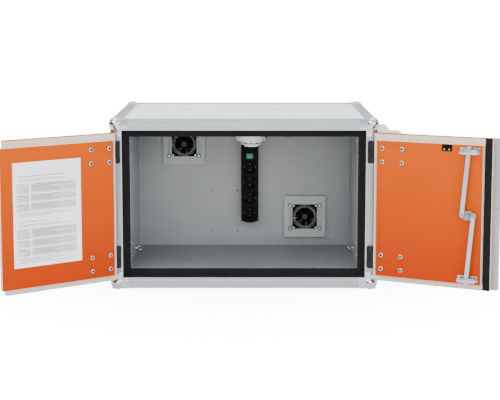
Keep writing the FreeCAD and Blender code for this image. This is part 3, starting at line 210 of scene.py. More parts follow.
class Effects:
    """Node groups that several finishes share, each built once."""

    @staticmethod
    def _start(name: str, scale: float, outputs: Sequence[str]) -> tuple[Canvas, Socket, Socket]:
        """Open a group with a vector and a scale.

        Args:
            name: the group's name.
            scale: the scale that holds when none is given.
            outputs: names of the outputs.

        Returns:
            The canvas of the group, its vector and its scale.
        """
        tree = bpy.data.node_groups.new(name, "ShaderNodeTree")
        tree.interface.new_socket("Vector", in_out="INPUT", socket_type="NodeSocketVector")
        tree.interface.new_socket("Scale", in_out="INPUT", socket_type="NodeSocketFloat").default_value = scale
        for label in outputs:
            tree.interface.new_socket(label, in_out="OUTPUT", socket_type="NodeSocketFloat")
        draw = Canvas(tree)
        source = draw.add("NodeGroupInput").outputs
        return draw, source["Vector"], source["Scale"]

    @staticmethod
    @cache
    def grain() -> bpy.types.NodeTree:
        """Fine pebbled surface with slow clouds.

        Returns:
            The group with Height and Cloud.
        """
        draw, place, scale = Effects._start("fine_grain", 900.0, ("Height", "Cloud"))
        fine = draw.noise(place, scale, 3.0, Roughness=0.6)
        cloud = draw.noise(place, 4.0, 4.0)
        draw.add("NodeGroupOutput", {"Height": fine, "Cloud": draw.step(cloud, 0.3, 0.7)})
        return draw.tree

    @staticmethod
    @cache
    def brushed() -> bpy.types.NodeTree:
        """Drawn or rolled streaks in a stretched space.

        Returns:
            The group with Height and Streak.
        """
        draw, place, scale = Effects._start("drawn_lines", 30.0, ("Height", "Streak"))
        fine = draw.noise(place, scale, 4.0, Roughness=0.7)
        wide = draw.noise(place, draw.times(scale, 0.2), 2.0)
        draw.add("NodeGroupOutput", {"Height": fine, "Streak": draw.step(wide, 0.35, 0.65)})
        return draw.tree

    @staticmethod
    @cache
    def handling() -> bpy.types.NodeTree:
        """Marks of use: faint patches, thin scratches and dust that settles on what looks up.

        Returns:
            The group with Smudge, Scratch and Dust.
        """
        draw, place, scale = Effects._start("handling_marks", 9.0, ("Smudge", "Scratch", "Dust"))
        patch = draw.noise(place, scale, 6.0, Distortion=0.6)
        lines = draw.noise(place, draw.times(scale, 2.5), 2.0, Distortion=2.5)
        thin = draw.step(draw.apart(lines, 0.5), 0.0, 0.0035, 1.0, 0.0)
        facing = draw.parts(draw.add("ShaderNodeNewGeometry").outputs["Normal"])[2]
        specks = draw.noise(place, 160.0, 5.0)
        draw.add("NodeGroupOutput", {
            "Smudge": draw.step(patch, 0.45, 0.75),
            "Scratch": draw.times(thin, draw.step(patch, 0.55, 0.7)),
            "Dust": draw.times(draw.step(facing, 0.6, 1.0), draw.step(specks, 0.45, 0.75))})
        return draw.tree


DUST = (0.55, 0.53, 0.50)
DUST_COVER = 0.042
SMUDGE_DULLS = 0.042
SCRATCH_DULLS = 0.0525


@dataclass(frozen=True)
class Finish:
    """A surface finish that turns into one material.

    Attributes:
        name: the material's name.
        colour: base colour as light values.
        roughness: how dull the surface is.
        metallic: 1 for bare metal, 0 for anything else.
        tint: how far the slow clouds lighten or darken the colour.
        grain_scale: pebbles per metre.
        grain_height: depth of the pebbles in metres.
        specular: strength of the plain gloss.
        door: the door whose closed place the pattern follows.
    """

    name: str
    colour: Colour
    roughness: float = 0.5
    metallic: float = 0.0
    tint: float = 0.06
    grain_scale: float = 900.0
    grain_height: float = 0.04 * MM
    specular: float = 0.5
    door: DoorFrame | None = None

    def space(self, draw: Canvas) -> Socket:
        """The object's coordinates, turned back to the closed door where there is one."""
        raw = draw.add("ShaderNodeTexCoord").outputs["Object"]
        return draw.mapped(raw, **self.door.mapping()) if self.door else raw

    def body_colour(self, draw: Canvas, vector: Socket, cloud: Socket) -> Socket:
        """Base colour with the slow clouds in it."""
        return draw.mix(cloud, shade(self.colour, 1 - self.tint), shade(self.colour, 1 + self.tint))

    def relief(self, draw: Canvas, vector: Socket, fine: Socket) -> Socket:
        """Height that the bump reads, 0 to 1."""
        return fine

    def extras(self, colour: Socket) -> dict[str, Value]:
        """Further inputs of the shader, none on a plain finish."""
        return {}

    def make(self) -> bpy.types.Material:
        """Build the material.

        Returns:
            The finished material.
        """
        material = bpy.data.materials.new(self.name)
        material.use_nodes = True
        material.node_tree.nodes.clear()
        draw = Canvas(material.node_tree)
        vector = self.space(draw)
        grain = draw.add("ShaderNodeGroup", {"Vector": vector, "Scale": self.grain_scale},
                         node_tree=Effects.grain()).outputs
        marks = draw.add("ShaderNodeGroup", {"Vector": vector}, node_tree=Effects.handling()).outputs
        colour = self.body_colour(draw, vector, grain["Cloud"])
        colour = draw.mix(draw.times(marks["Dust"], DUST_COVER), colour, DUST)
        rough = draw.plus(draw.times(marks["Smudge"], SMUDGE_DULLS), self.roughness)
        rough = draw.math("ADD", rough, draw.times(marks["Scratch"], SCRATCH_DULLS), clamp=True)
        relief = self.relief(draw, vector, grain["Height"])
        bump = draw.add("ShaderNodeBump", {"Height": relief, "Strength": 1.0, "Distance": self.grain_height})
        shader = draw.add("ShaderNodeBsdfPrincipled", {
            "Base Color": colour, "Roughness": rough, "Metallic": self.metallic, "Normal": bump.outputs[0],
            "Specular IOR Level": self.specular, **self.extras(colour)})
        draw.add("ShaderNodeOutputMaterial", {"Surface": shader.outputs[0]})
        return material


@dataclass(frozen=True)
class BrushedMetal(Finish):
    """Metal with streaks along one direction."""

    direction: Direction = Direction.ALONG_X
    metallic: float = 1.0
    streak: float = 0.05

    def _lines(self, draw: Canvas, vector: Socket, output: str) -> Socket:
        """Streaks in a space that is squeezed along the brushing."""
        place = draw.mapped(vector, Scale=self.direction.value)
        return draw.add("ShaderNodeGroup", {"Vector": place}, node_tree=Effects.brushed()).outputs[output]

    def body_colour(self, draw: Canvas, vector: Socket, cloud: Socket) -> Socket:
        """Base colour with streaks."""
        streaks = self._lines(draw, vector, "Streak")
        return draw.mix(streaks, shade(self.colour, 1 - self.streak), shade(self.colour, 1 + self.streak))

    def relief(self, draw: Canvas, vector: Socket, fine: Socket) -> Socket:
        """Streaks as height."""
        return self._lines(draw, vector, "Height")


FRONT_FACE = -293.5
INNER_FACE = -255.5
BOARD_RIMS = (41.0, 479.0)
ORANGE = (0.50, 0.071, 0.0)
LOW_ORANGE = (0.395, 0.030, 0.0)
PLY = to_linear(214, 203, 188)
VENEER = 2.1 * MM


@dataclass(frozen=True)
class FacedPly(Finish):
    """Plywood of a door with a coloured film, a little deeper in colour at the foot.

    Attributes:
        faces: depths of the filmed faces on the closed door, in millimetres.
        rims: heights of the filmed edges, in millimetres.
        film: thickness of the film, in millimetres.
    """

    tint: float = 0.03
    specular: float = 0.03
    faces: tuple[float, ...] = ()
    rims: tuple[float, ...] = ()
    film: float = 0.9

    def body_colour(self, draw: Canvas, vector: Socket, cloud: Socket) -> Socket:
        """Veneers in the board's thickness under the coloured film.

        Args:
            draw: canvas of the material.
            vector: coordinates of the closed door.
            cloud: the slow clouds.

        Returns:
            The colour.
        """
        _, depth, up = draw.parts(vector)
        layer = draw.step(draw.math("SINE", draw.times(depth, math.pi / VENEER)), -0.15, 0.15)
        veneer = draw.mix(draw.plus(draw.times(layer, 0.5), 0.5), shade(PLY, 0.86), shade(PLY, 1.06))
        fibre = draw.noise(draw.mapped(vector, Scale=(1.0, 6.0, 9.0)), 60.0, 6.0)
        wood = draw.mix(draw.times(draw.step(fibre, 0.35, 0.7), 0.35), veneer, shade(PLY, 0.8))
        film = draw.mix(draw.step(up, 0.02, 0.48), LOW_ORANGE, super().body_colour(draw, vector, cloud))
        mask: Value = 0.0
        for along, levels in ((depth, self.faces), (up, self.rims)):
            for level in levels:
                near = draw.math("LESS_THAN", draw.apart(along, level * MM), self.film * MM)
                mask = draw.math("MAXIMUM", mask, near)
        return draw.mix(mask, wood, film)


@dataclass(frozen=True)
class Patch:
    """Region of a piece that shows another colour.

    Attributes:
        colour: colour inside the region.
        centre: place of the region's middle, in millimetres.
        reach: nearest and farthest distance from the middle, in millimetres.
        across: which axes count for the distance.
    """

    colour: Colour
    centre: Point
    reach: tuple[float, float]
    across: Point = (1.0, 0.0, 1.0)

    def mask(self, draw: Canvas, vector: Socket) -> Socket:
        """1 inside the region and 0 outside.

        Args:
            draw: canvas of the material.
            vector: coordinates of the case.

        Returns:
            The mask.
        """
        centre = Vector(self.centre) * MM
        away = draw.add("ShaderNodeVectorMath", {0: vector, 1: centre}, operation="SUBTRACT").outputs[0]
        flat = draw.add("ShaderNodeVectorMath", {0: away, 1: self.across}, operation="MULTIPLY").outputs[0]
        return draw.between(draw.length(flat), self.reach[0] * MM, self.reach[1] * MM)


@dataclass(frozen=True)
class Patched(Finish):
    """Finish with regions of other colours, such as a lamp in its holder."""

    patches: tuple[Patch, ...] = ()

    def body_colour(self, draw: Canvas, vector: Socket, cloud: Socket) -> Socket:
        """Base colour with the regions laid over it.

        Args:
            draw: canvas of the material.
            vector: coordinates of the case.
            cloud: the slow clouds.

        Returns:
            The colour.
        """
        colour = super().body_colour(draw, vector, cloud)
        for patch in self.patches:
            colour = draw.mix(patch.mask(draw, vector), colour, patch.colour)
        return colour


@dataclass(frozen=True)
class Clear(Patched):
    """Tinted see-through plastic with a glow of its own."""

    glow: float = 0.06

    def extras(self, colour: Socket) -> dict[str, Value]:
        """Some light comes through, and the colour glows."""
        return {"Transmission Weight": 0.2, "Emission Strength": self.glow, "Emission Color": colour}


@dataclass(frozen=True)
class PrintBlock:
    """Block of print on the sheet, in shares of its width and height from the upper left.

    Attributes:
        box: left, top, right and bottom.
        tone: brightness of the print.
        lines: how many thin lines fill the block, 0 for a flat tint.
        ragged: how far the lines' ends vary.
    """

    box: tuple[float, float, float, float]
    tone: float
    lines: int = 0
    ragged: float = 0.0

    def lay(self, draw: Canvas, under: Socket, across: Socket, down: Socket, letters: Socket) -> Socket:
        """Lay the block over a colour.

        Args:
            draw: canvas of the material.
            under: the colour so far.
            across: share of the sheet's width.
            down: share of its height.
            letters: noise that breaks the lines up.

        Returns:
            The colour with the block.
        """
        left, top, right, bottom = self.box
        ink = draw.between(down, top, bottom)
        end: Value = right
        if self.lines:
            row = draw.times(draw.less(down, top), self.lines / (bottom - top))
            chance = draw.add("ShaderNodeTexWhiteNoise", {"W": draw.math("FLOOR", row)},
                              noise_dimensions="1D").outputs["Value"]
            end = draw.less(right, draw.times(chance, self.ragged * (right - left)))
            stroke = draw.math("LESS_THAN", draw.math("FRACT", row), 0.5)
            ink = draw.times(draw.times(ink, stroke), draw.step(letters, 0.36, 0.46, 0.35))
        mask = draw.times(ink, draw.between(across, left, end))
        return draw.mix(mask, under, (self.tone, self.tone, self.tone * 1.06))


SHEET_CORNER, SHEET_SIZE = (-0.0164, 0.417), (0.21, 0.297)
SHEET_PARTS = (0.13, 0.562)
SHEET_RINGS = tuple((0.19, top + low) for top in SHEET_PARTS for low in (0.13, 0.22, 0.305))
RING_REACH = (5.4 * MM, 7.2 * MM)
RING_INK = (0.16, 0.16, 0.17)


def sheet_layout() -> tuple[PrintBlock, ...]:
    """Two headed parts, each with three tinted rows and lines below.

    Returns:
        The blocks in printing order.
    """
    blocks = []
    for top, heading in zip(SHEET_PARTS, (0.74, 0.49)):
        rows = [((0.08, 0.0, heading, 0.014), 0.03, 1), ((0.08, 0.028, 0.90, 0.056), 0.28, 2, 0.5)]
        for low, high in ((0.07, 0.166), (0.176, 0.25), (0.26, 0.335)):
            rows += [((0.05, low, 0.235, high), 0.60), ((0.255, low, 0.925, high), 0.62),
                     ((0.08, low + 0.010, 0.17, low + 0.020), 0.06, 1),
                     ((0.275, low + 0.008, 0.91, high - 0.012), 0.16, 6, 0.6)]
        rows.append(((0.08, 0.350, 0.90, 0.392), 0.32, 3, 0.5))
        blocks += [PrintBlock((left, top + low, right, top + high), *ink)
                   for (left, low, right, high), *ink in rows]
    return (*blocks, PrintBlock((0.08, 0.955, 0.89, 0.965), 0.12, 1))


@dataclass(frozen=True)
class PrintedSheet(Finish):
    """Paper on the closed left door with a plain layout of tints, thin grey lines and rings."""

    def body_colour(self, draw: Canvas, vector: Socket, cloud: Socket) -> Socket:
        """Paper colour with every block and ring over it.

        Args:
            draw: canvas of the material.
            vector: coordinates of the closed door.
            cloud: the slow clouds.

        Returns:
            The colour.
        """
        x, _, z = draw.parts(vector)
        across = draw.math("DIVIDE", draw.less(SHEET_CORNER[0], x), SHEET_SIZE[0])
        down = draw.math("DIVIDE", draw.less(SHEET_CORNER[1], z), SHEET_SIZE[1])
        letters = draw.noise(vector, 520.0, 1.0)
        colour = super().body_colour(draw, vector, cloud)
        for block in sheet_layout():
            colour = block.lay(draw, colour, across, down, letters)
        for middle in SHEET_RINGS:
            aside = draw.times(draw.less(across, middle[0]), SHEET_SIZE[0])
            above = draw.times(draw.less(down, middle[1]), SHEET_SIZE[1])
            away = draw.math("SQRT", draw.plus(draw.times(aside, aside), draw.times(above, above)))
            colour = draw.mix(draw.between(away, *RING_REACH), colour, RING_INK)
        return colour


LOCK_X, LOCK_Z = 60.4, 260.0
BOLT_ROWS = (82.5, 122.5, 397.5, 437.5)
GUIDE_ROWS = (443.5, 76.5)
WALL_HOLES = tuple((x, z) for x in (-107.7, -22.7) for z in (104.7, 239.7))
FAN_MIDDLES = ((-196.0, 395.0), (198.0, 155.5))


def guard_glint_patches() -> tuple[Patch, ...]:
    """Painted highlights on the two outer wire rings, and the plain middle, of the two fan guards.

    Returns:
        The regions in laying order.
    """
    found = []
    for across, up in FAN_MIDDLES:
        middle = (across, 0.0, up)
        # The two grey ring tones are painted highlights on the outer wires.
        for radius, tone in ((39.0, 0.20), (33.5, 0.34)):
            found.append(Patch((tone, tone, tone), middle, (radius - 1.6, radius + 0.3)))
        found.append(Patch((0.045, 0.046, 0.048), middle, (0.0, 9.3)))
    return tuple(found)


WHITE_PANEL = Finish("panel_laminate", to_linear(232, 234, 234), 0.42, tint=0.02, grain_height=0.03 * MM)
GREY_BOARD = Finish("lining_laminate", to_linear(138, 141, 143), 0.40, tint=0.03, grain_height=0.02 * MM)
# The ceiling is the lining's grey laminate made lighter: painted light.
CEILING_BOARD_PAINTED_LIGHT = Finish("ceiling_laminate_painted_light", to_linear(150, 153, 154), 0.40, tint=0.03, grain_height=0.02 * MM)
# The floor is the lining's grey laminate made darker: painted shade.
FLOOR_BOARD_PAINTED_SHADE = Finish("floor_laminate_painted_shade", to_linear(108, 112, 115), 0.45, tint=0.03, grain_height=0.03 * MM)
PLATE_BOARD = Finish("vent_plate_board", to_linear(156, 159, 159), 0.5, tint=0.03)
FOAM = Finish("seal_foam", to_linear(12, 12, 12), 0.85, tint=0.15, grain_scale=1400.0, grain_height=0.15 * MM,
              specular=0.2)
POWDER_BLACK = Finish("black_powder_coat", to_linear(12, 12, 13), 0.42, tint=0.1, grain_scale=1800.0,
                      grain_height=0.05 * MM, specular=0.3)
BLACK_PLASTIC = Finish("black_plastic", to_linear(5, 5, 6), 0.6, tint=0.12, grain_scale=1500.0,
                       grain_height=0.08 * MM, specular=0.08)
FAN_PLASTIC = Finish("fan_plastic", to_linear(2, 2, 3), 0.7, tint=0.1, grain_scale=1800.0, specular=0.02)
# Black guard wire with painted highlights on its outer rings.
GUARD_WIRE = Patched("guard_wire", to_linear(5, 5, 6), 0.45, tint=0.1, grain_scale=1800.0, specular=0.08,
                     patches=guard_glint_patches())
BOX_PLASTIC = Finish("box_plastic", to_linear(206, 208, 207), 0.5, tint=0.02, grain_scale=1200.0,
                     grain_height=0.08 * MM)
PAPER = PrintedSheet("sheet_paper", to_linear(246, 247, 251), 0.6, tint=0.01, grain_scale=2600.0, specular=0.3,
                     door=LEFT_DOOR)
GREEN = Clear("green_lens", to_linear(14, 132, 70), 0.25)
DETECTOR = Patched("detector_plastic", to_linear(226, 226, 222), 0.35, tint=0.02, patches=(
    Patch((0.03, 0.03, 0.03), (0.0, 0.0, 415.4), (0.0, 0.9), (0.0, 0.0, 1.0)),
    Patch((0.03, 0.03, 0.03), (0.0, 0.0, 411.0), (0.0, 0.7), (0.0, 0.0, 1.0)),
    Patch((0.6, 0.02, 0.02), (42.0, -43.5, 0.0), (0.0, 1.6), (1.0, 1.0, 0.0))))
MODULE = Clear("status_plastic", to_linear(90, 190, 96), 0.3,
               patches=(Patch(to_linear(150, 8, 20), (68.5, 0.0, 0.0), (0.0, 4.0), (1.0, 0.0, 0.0)),))
SHUTTER = Finish("shutter_plastic", to_linear(132, 34, 34), 0.4, tint=0.06, specular=0.2)
BRASS = Finish("brass_screw", to_linear(150, 112, 60), 0.35, metallic=1.0, tint=0.12, grain_scale=400.0)
ZINC = Finish("zinc_plate", to_linear(180, 189, 200), 0.30, metallic=1.0, tint=0.05, grain_scale=350.0,
              grain_height=0.03 * MM)
STEEL = Finish("dull_steel", to_linear(128, 135, 144), 0.34, metallic=1.0, tint=0.12, grain_scale=240.0,
               grain_height=0.06 * MM)
NUT_STEEL = Finish("nut_steel", to_linear(158, 171, 176), 0.24, metallic=1.0, tint=0.04, grain_scale=300.0,
                   grain_height=0.03 * MM)
CHROME = Finish("chrome_corner", to_linear(196, 203, 209), 0.07, metallic=1.0, tint=0.03, grain_scale=60.0,
                grain_height=0.05 * MM)
TRIM = BrushedMetal("trim_aluminium", to_linear(150, 152, 156), 0.4)
ASTRAGAL = BrushedMetal("astragal_aluminium", to_linear(172, 167, 167), 0.4, direction=Direction.ALONG_Z)


def aluminium(direction: Direction) -> BrushedMetal:
    """Brushed aluminium of the profiles that run one way."""
    name = f"aluminium_{direction.name.lower()}"
    return BrushedMetal(name, to_linear(172, 177, 182), 0.3, direction=direction)


class Facing(Enum):
    """Way that a small part looks, as a turn from straight up."""

    UP = (0.0, 0.0, 0.0)
    DOWN = (math.pi, 0.0, 0.0)
    FRONT = (math.pi / 2, 0.0, 0.0)
    BACK = (-math.pi / 2, 0.0, 0.0)
    RIGHT = (0.0, math.pi / 2, 0.0)
    LEFT = (0.0, -math.pi / 2, 0.0)

    def at(self, place: Sequence[float], door: DoorFrame | None, spin: float) -> Matrix:
        """Matrix of a part that stands at a place, of the closed door if it has one, spun in degrees."""
        own = Matrix.Translation(Vector(place) * MM) @ Euler(self.value).to_matrix().to_4x4()
        return (door.matrix() if door else Matrix()) @ own @ Matrix.Rotation(math.radians(spin), 4, "Z")

    def spots(self, places: Iterable[Sequence[float]], body: str = "", door: DoorFrame | None = None,
              spin: float = 0.0, turn: float = 0.0) -> Places:
        """Places of equal parts on a body, a door or the cabinet, each turned on from the one before."""
        body = body or (door.body if door else "cabinet")
        return [(self.at(place, door, spin + turn * number), body) for number, place in enumerate(places)]


@cache
def stocked(finish: Finish) -> bpy.types.Material:
    """Material of a finish, made once."""
    return finish.make()


class Bench:
    """One small piece on the bench: a primitive, shaped in edit mode and then put in place."""

    def __init__(self, name: str, kind: str, finish: Finish, **options: object) -> None:
        """Start from a primitive, with everything else deselected.

        Args:
            name: the piece's name.
            kind: the primitive's name, such as cube or cylinder.
            finish: the piece's finish.
            options: sizes and place of the primitive.
        """
        bpy.ops.object.select_all(action="DESELECT")
        getattr(bpy.ops.mesh, f"primitive_{kind}_add")(**options)
        self.piece = bpy.context.object
        self.piece.name = self.piece.data.name = name
        bpy.ops.object.transform_apply(location=True, rotation=True, scale=True)
        self.piece.data.materials.append(stocked(finish))

    @classmethod
    def block(cls, name: str, finish: Finish, size: Point, middle: Point | None = None) -> "Bench":
        """Start from a box about its middle; without one it stands on the origin."""
        middle = middle or (0.0, 0.0, size[2] / 2)
        return cls(name, "cube", finish, size=1.0, location=Vector(middle) * MM, scale=Vector(size) * MM)

    @classmethod
    def disc(cls, name: str, finish: Finish, radius: float, rise: float, sides: int = 32, foot: float = 0.0,
             fill: str = "NGON") -> "Bench":
        """Start from an upright cylinder with its foot at a height above the origin."""
        return cls(name, "cylinder", finish, vertices=sides, radius=radius * MM, depth=rise * MM,
                   location=(0, 0, (foot + rise / 2) * MM), end_fill_type=fill)

    def _choose(self, kind: str, test: Callable[[bmesh.types.BMFace | bmesh.types.BMEdge], bool]) -> "Bench":
        """Select faces or edges in edit mode.

        Args:
            kind: FACE or EDGE.
            test: says whether one is wanted.

        Returns:
            The bench, ready for the next move.
        """
        bpy.ops.object.mode_set(mode="EDIT")
        bpy.ops.mesh.select_mode(type=kind)
        bpy.ops.mesh.select_all(action="DESELECT")
        mesh = bmesh.from_edit_mesh(self.piece.data)
        for part in mesh.faces if kind == "FACE" else mesh.edges:
            part.select_set(test(part))
        bmesh.update_edit_mesh(self.piece.data)
        return self

    def pick(self, test: Callable[[Vector, Vector], bool]) -> "Bench":
        """Select faces by their middle, in millimetres, and their normal."""
        return self._choose("FACE", lambda face: test(face.calc_center_median() / MM, face.normal))

    def top(self) -> "Bench":
        """Select the highest faces that look up.

        Returns:
            The bench, ready for the next move.
        """
        bpy.ops.object.mode_set(mode="EDIT")
        peak = max(corner.co.z for corner in bmesh.from_edit_mesh(self.piece.data).verts) / MM
        return self.pick(lambda middle, normal: normal.z > 0.9 and middle.z > peak - 0.01)

    def inset(self, width: float) -> "Bench":
        """Inset the picked faces."""
        bpy.ops.mesh.inset(thickness=width * MM)
        return self

    def pull(self, rise: float) -> "Bench":
        """Extrude the picked faces along Z."""
        bpy.ops.mesh.extrude_region_move(TRANSFORM_OT_translate={"value": (0, 0, rise * MM)})
        return self

    def lift(self, rise: float, across: float = 0.0) -> "Bench":
        """Move the picked faces along Z and X."""
        bpy.ops.transform.translate(value=(across * MM, 0, rise * MM))
        return self

    def corners(self, width: float, segments: int = 1) -> "Bench":
        """Cut or round the upright edges.

        Args:
            width: reach of the cut along each side.
            segments: 1 for a chamfer, more for a round.

        Returns:
            The bench, ready for the next move.
        """
        self._choose("EDGE", lambda edge: (edge.verts[0].co.xy - edge.verts[1].co.xy).length < 0.01 * MM)
        bpy.ops.mesh.bevel(offset=width * MM, segments=segments, affect="EDGES")
        bpy.ops.object.mode_set(mode="OBJECT")
        return self

    def drill(self, spots: Iterable[Sequence[float]], radius: float, length: float,
              turn: Sequence[float] = Facing.UP.value) -> "Bench":
        """Cut round holes through the piece.

        Args:
            spots: middles of the holes.
            radius: radius of the holes.
            length: length of the cutter.
            turn: turn of the cutter from upright.

        Returns:
            The bench, ready for the next move.
        """
        for spot in spots:
            bpy.ops.object.select_all(action="DESELECT")
            bpy.ops.mesh.primitive_cylinder_add(vertices=24, radius=radius * MM, depth=length * MM,
                                                location=Vector(spot) * MM, rotation=turn)
            cutter = bpy.context.object
            bpy.context.view_layer.objects.active = self.piece
            hole = self.piece.modifiers.new("hole", "BOOLEAN")
            hole.operation, hole.object = "DIFFERENCE", cutter
            bpy.ops.object.modifier_apply(modifier=hole.name)
            bpy.data.objects.remove(cutter)
        return self

    def take(self, other: "Bench") -> "Bench":
        """Join another piece into this one.

        Args:
            other: the bench that holds it.

        Returns:
            The bench, ready for the next move.
        """
        bpy.ops.object.mode_set(mode="OBJECT")
        bpy.ops.object.select_all(action="DESELECT")
        other.piece.select_set(True)
        self.piece.select_set(True)
        bpy.context.view_layer.objects.active = self.piece
        bpy.ops.object.join()
        return self

    def soften(self, width: float, segments: int = 2) -> "Bench":
        """Break the sharp edges with an applied bevel.

        Args:
            width: width of the bevel.
            segments: how round it is.

        Returns:
            The bench, ready for the next move.
        """
        bpy.ops.object.mode_set(mode="OBJECT")
        edge = self.piece.modifiers.new("edges", "BEVEL")
        edge.width, edge.segments = width * MM, segments
        edge.limit_method, edge.angle_limit = "ANGLE", math.radians(40)
        bpy.ops.object.modifier_apply(modifier=edge.name)
        return self

    def smooth(self) -> "Bench":
        """Shade round faces as round.

        Returns:
            The bench, ready for the next move.
        """
        bpy.ops.object.mode_set(mode="OBJECT")
        bpy.ops.object.shade_smooth_by_angle(angle=math.radians(35))
        return self

    def finish(self, places: Places, slot: str = "zinc_steel") -> list[bpy.types.Object]:
        """Put the piece and its copies in place and hand them to the bodies that carry them.

        Args:
            places: matrix and body of each copy.
            slot: not used.

        Returns:
            The pieces.
        """
        bpy.ops.object.mode_set(mode="OBJECT")
        pieces = [self.piece]
        for number in range(1, len(places)):
            twin = self.piece.copy()
            twin.data = self.piece.data.copy()
            twin.name = twin.data.name = f"{self.piece.name}_{number + 1}"
            bpy.context.scene.collection.objects.link(twin)
            pieces.append(twin)
        for piece, (matrix, body) in zip(pieces, places):
            bpy.ops.object.select_all(action="DESELECT")
            piece.matrix_world = matrix
            piece.select_set(True)
            bpy.context.view_layer.objects.active = piece
            bpy.ops.object.transform_apply(location=True, rotation=True, scale=True)
            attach(piece, body)
        LOG.info("%s: %d pieces", self.piece.name, len(pieces))
        return pieces


def dress(names: Iterable[str], finish: Finish, bevel: float) -> None:
    """Give solids a finish and softly broken edges.

    Args:
        names: nodes to dress.
        finish: the finish that they share.
        bevel: width of the broken edge, 0 for none.
    """
    material = stocked(finish)
    for name in names:
        solid = NODES[name]
        for slot in solid.material_slots:
            slot.material = material
        if not solid.material_slots:
            solid.data.materials.append(material)
        solid.data.polygons.foreach_set("use_smooth", [True] * len(solid.data.polygons))
        weld = solid.modifiers.new("joined_corners", "WELD")
        weld.merge_threshold = 0.01 * MM
        if bevel:
            edge = solid.modifiers.new("broken_edges", "BEVEL")
            edge.width, edge.segments = bevel * MM, 2
            edge.limit_method, edge.angle_limit = "ANGLE", math.radians(38)
            edge.use_clamp_overlap = True
        even = solid.modifiers.new("even_shading", "WEIGHTED_NORMAL")
        even.keep_sharp = False
        LOG.info("dressed %s in %s", name, finish.name)


class Assembly:
    """Solids of one area: names, the finish that they share and the width of their broken edges."""

    finishes: tuple[tuple[tuple[str, ...], Finish, float], ...] = ()

    def dress(self) -> None:
        """Finish every solid of the area."""
        for names, finish, bevel in self.finishes:
            dress(names, finish, bevel)


class Shell(Assembly):
    """Boards, edge profiles and corners of the case."""

    finishes = (
        (("core_left", "core_right", "core_bottom", "core_top", "core_rear"), WHITE_PANEL, 0.0),
        (("lining_left", "lining_right", "back_wall"), GREY_BOARD, 0.0),
        # Ceiling board: lining laminate lightened as painted light.
        (("lining_top",), CEILING_BOARD_PAINTED_LIGHT, 0.0),
        # Floor board: lining laminate darkened as painted shade.
        (("floor_board",), FLOOR_BOARD_PAINTED_SHADE, 0.0),
        (("front_profile_top", "front_profile_bottom"), aluminium(Direction.ALONG_X), 0.5),
        (("front_profile_left", "front_profile_right"), aluminium(Direction.ALONG_Z), 0.5),
        (("depth_profiles", "rear_profiles"), aluminium(Direction.ALONG_Y), 0.5),
        (("lining_trim",), TRIM, 0.3),
        (("frame_seal", "meeting_seal"), FOAM, 0.4),
        (("seal_carrier",), FOAM, 0.0),
        (("ball_corners",), CHROME, 0.3),
    )


class Doors(Assembly):
    """The two doors with what is fixed to them."""

    finishes = (
        *(((f"{door.name}_door_inner", f"{door.name}_door_outer"),
           FacedPly(f"{door.name}_inner_board", ORANGE, door=door, faces=(INNER_FACE,)), 0.5)
          for door in DOORS),
        (("instruction_sheet",), PAPER, 0.0),
        (("right_astragal",), ASTRAGAL, 0.4),
        (("hinge_frame_leaves", "left_hinge_leaves", "right_hinge_leaves"), POWDER_BLACK, 0.4),
        (("left_door_bolts", "right_door_bolts", "frame_bolts"), ZINC, 0.3),
        (("magnet_plate", "reed_switch"), BLACK_PLASTIC, 0.4),
    )


class Lock(Assembly):
    """Espagnolette lock of the right door."""

    finishes = (
        (("lock_cam", "upper_rod", "lower_rod", "rod_guides", "lock_keepers"), ZINC, 0.3),
        (("lock_handle", "handle_rose"), POWDER_BLACK, 0.8),
    )


class Fittings(Assembly):
    """Vents, socket strip, ceiling fittings, eyes and outside boxes."""

    finishes = (
        (("upper_vent_plate", "lower_vent_plate"), PLATE_BOARD, 0.6),
        (("upper_fan_frame", "lower_fan_frame", "upper_fan_rotor", "lower_fan_rotor"), FAN_PLASTIC, 0.3),
        (("fan_guards",), GUARD_WIRE, 0.2),
        (("vent_nuts",), NUT_STEEL, 0.3),
        (("lashing_eyes",), CHROME, 0.3),
        (("power_strip", "socket_inserts"), BLACK_PLASTIC, 0.8),
        (("strip_rocker",), GREEN, 0.4),
        (("status_module",), MODULE, 0.4),
        (("smoke_detector",), DETECTOR, 0.8),
        (("side_boxes", "side_box_lids"), BOX_PLASTIC, 1.0),
        (("rear_outlets", "cable_gland"), BLACK_PLASTIC, 0.5),
    )


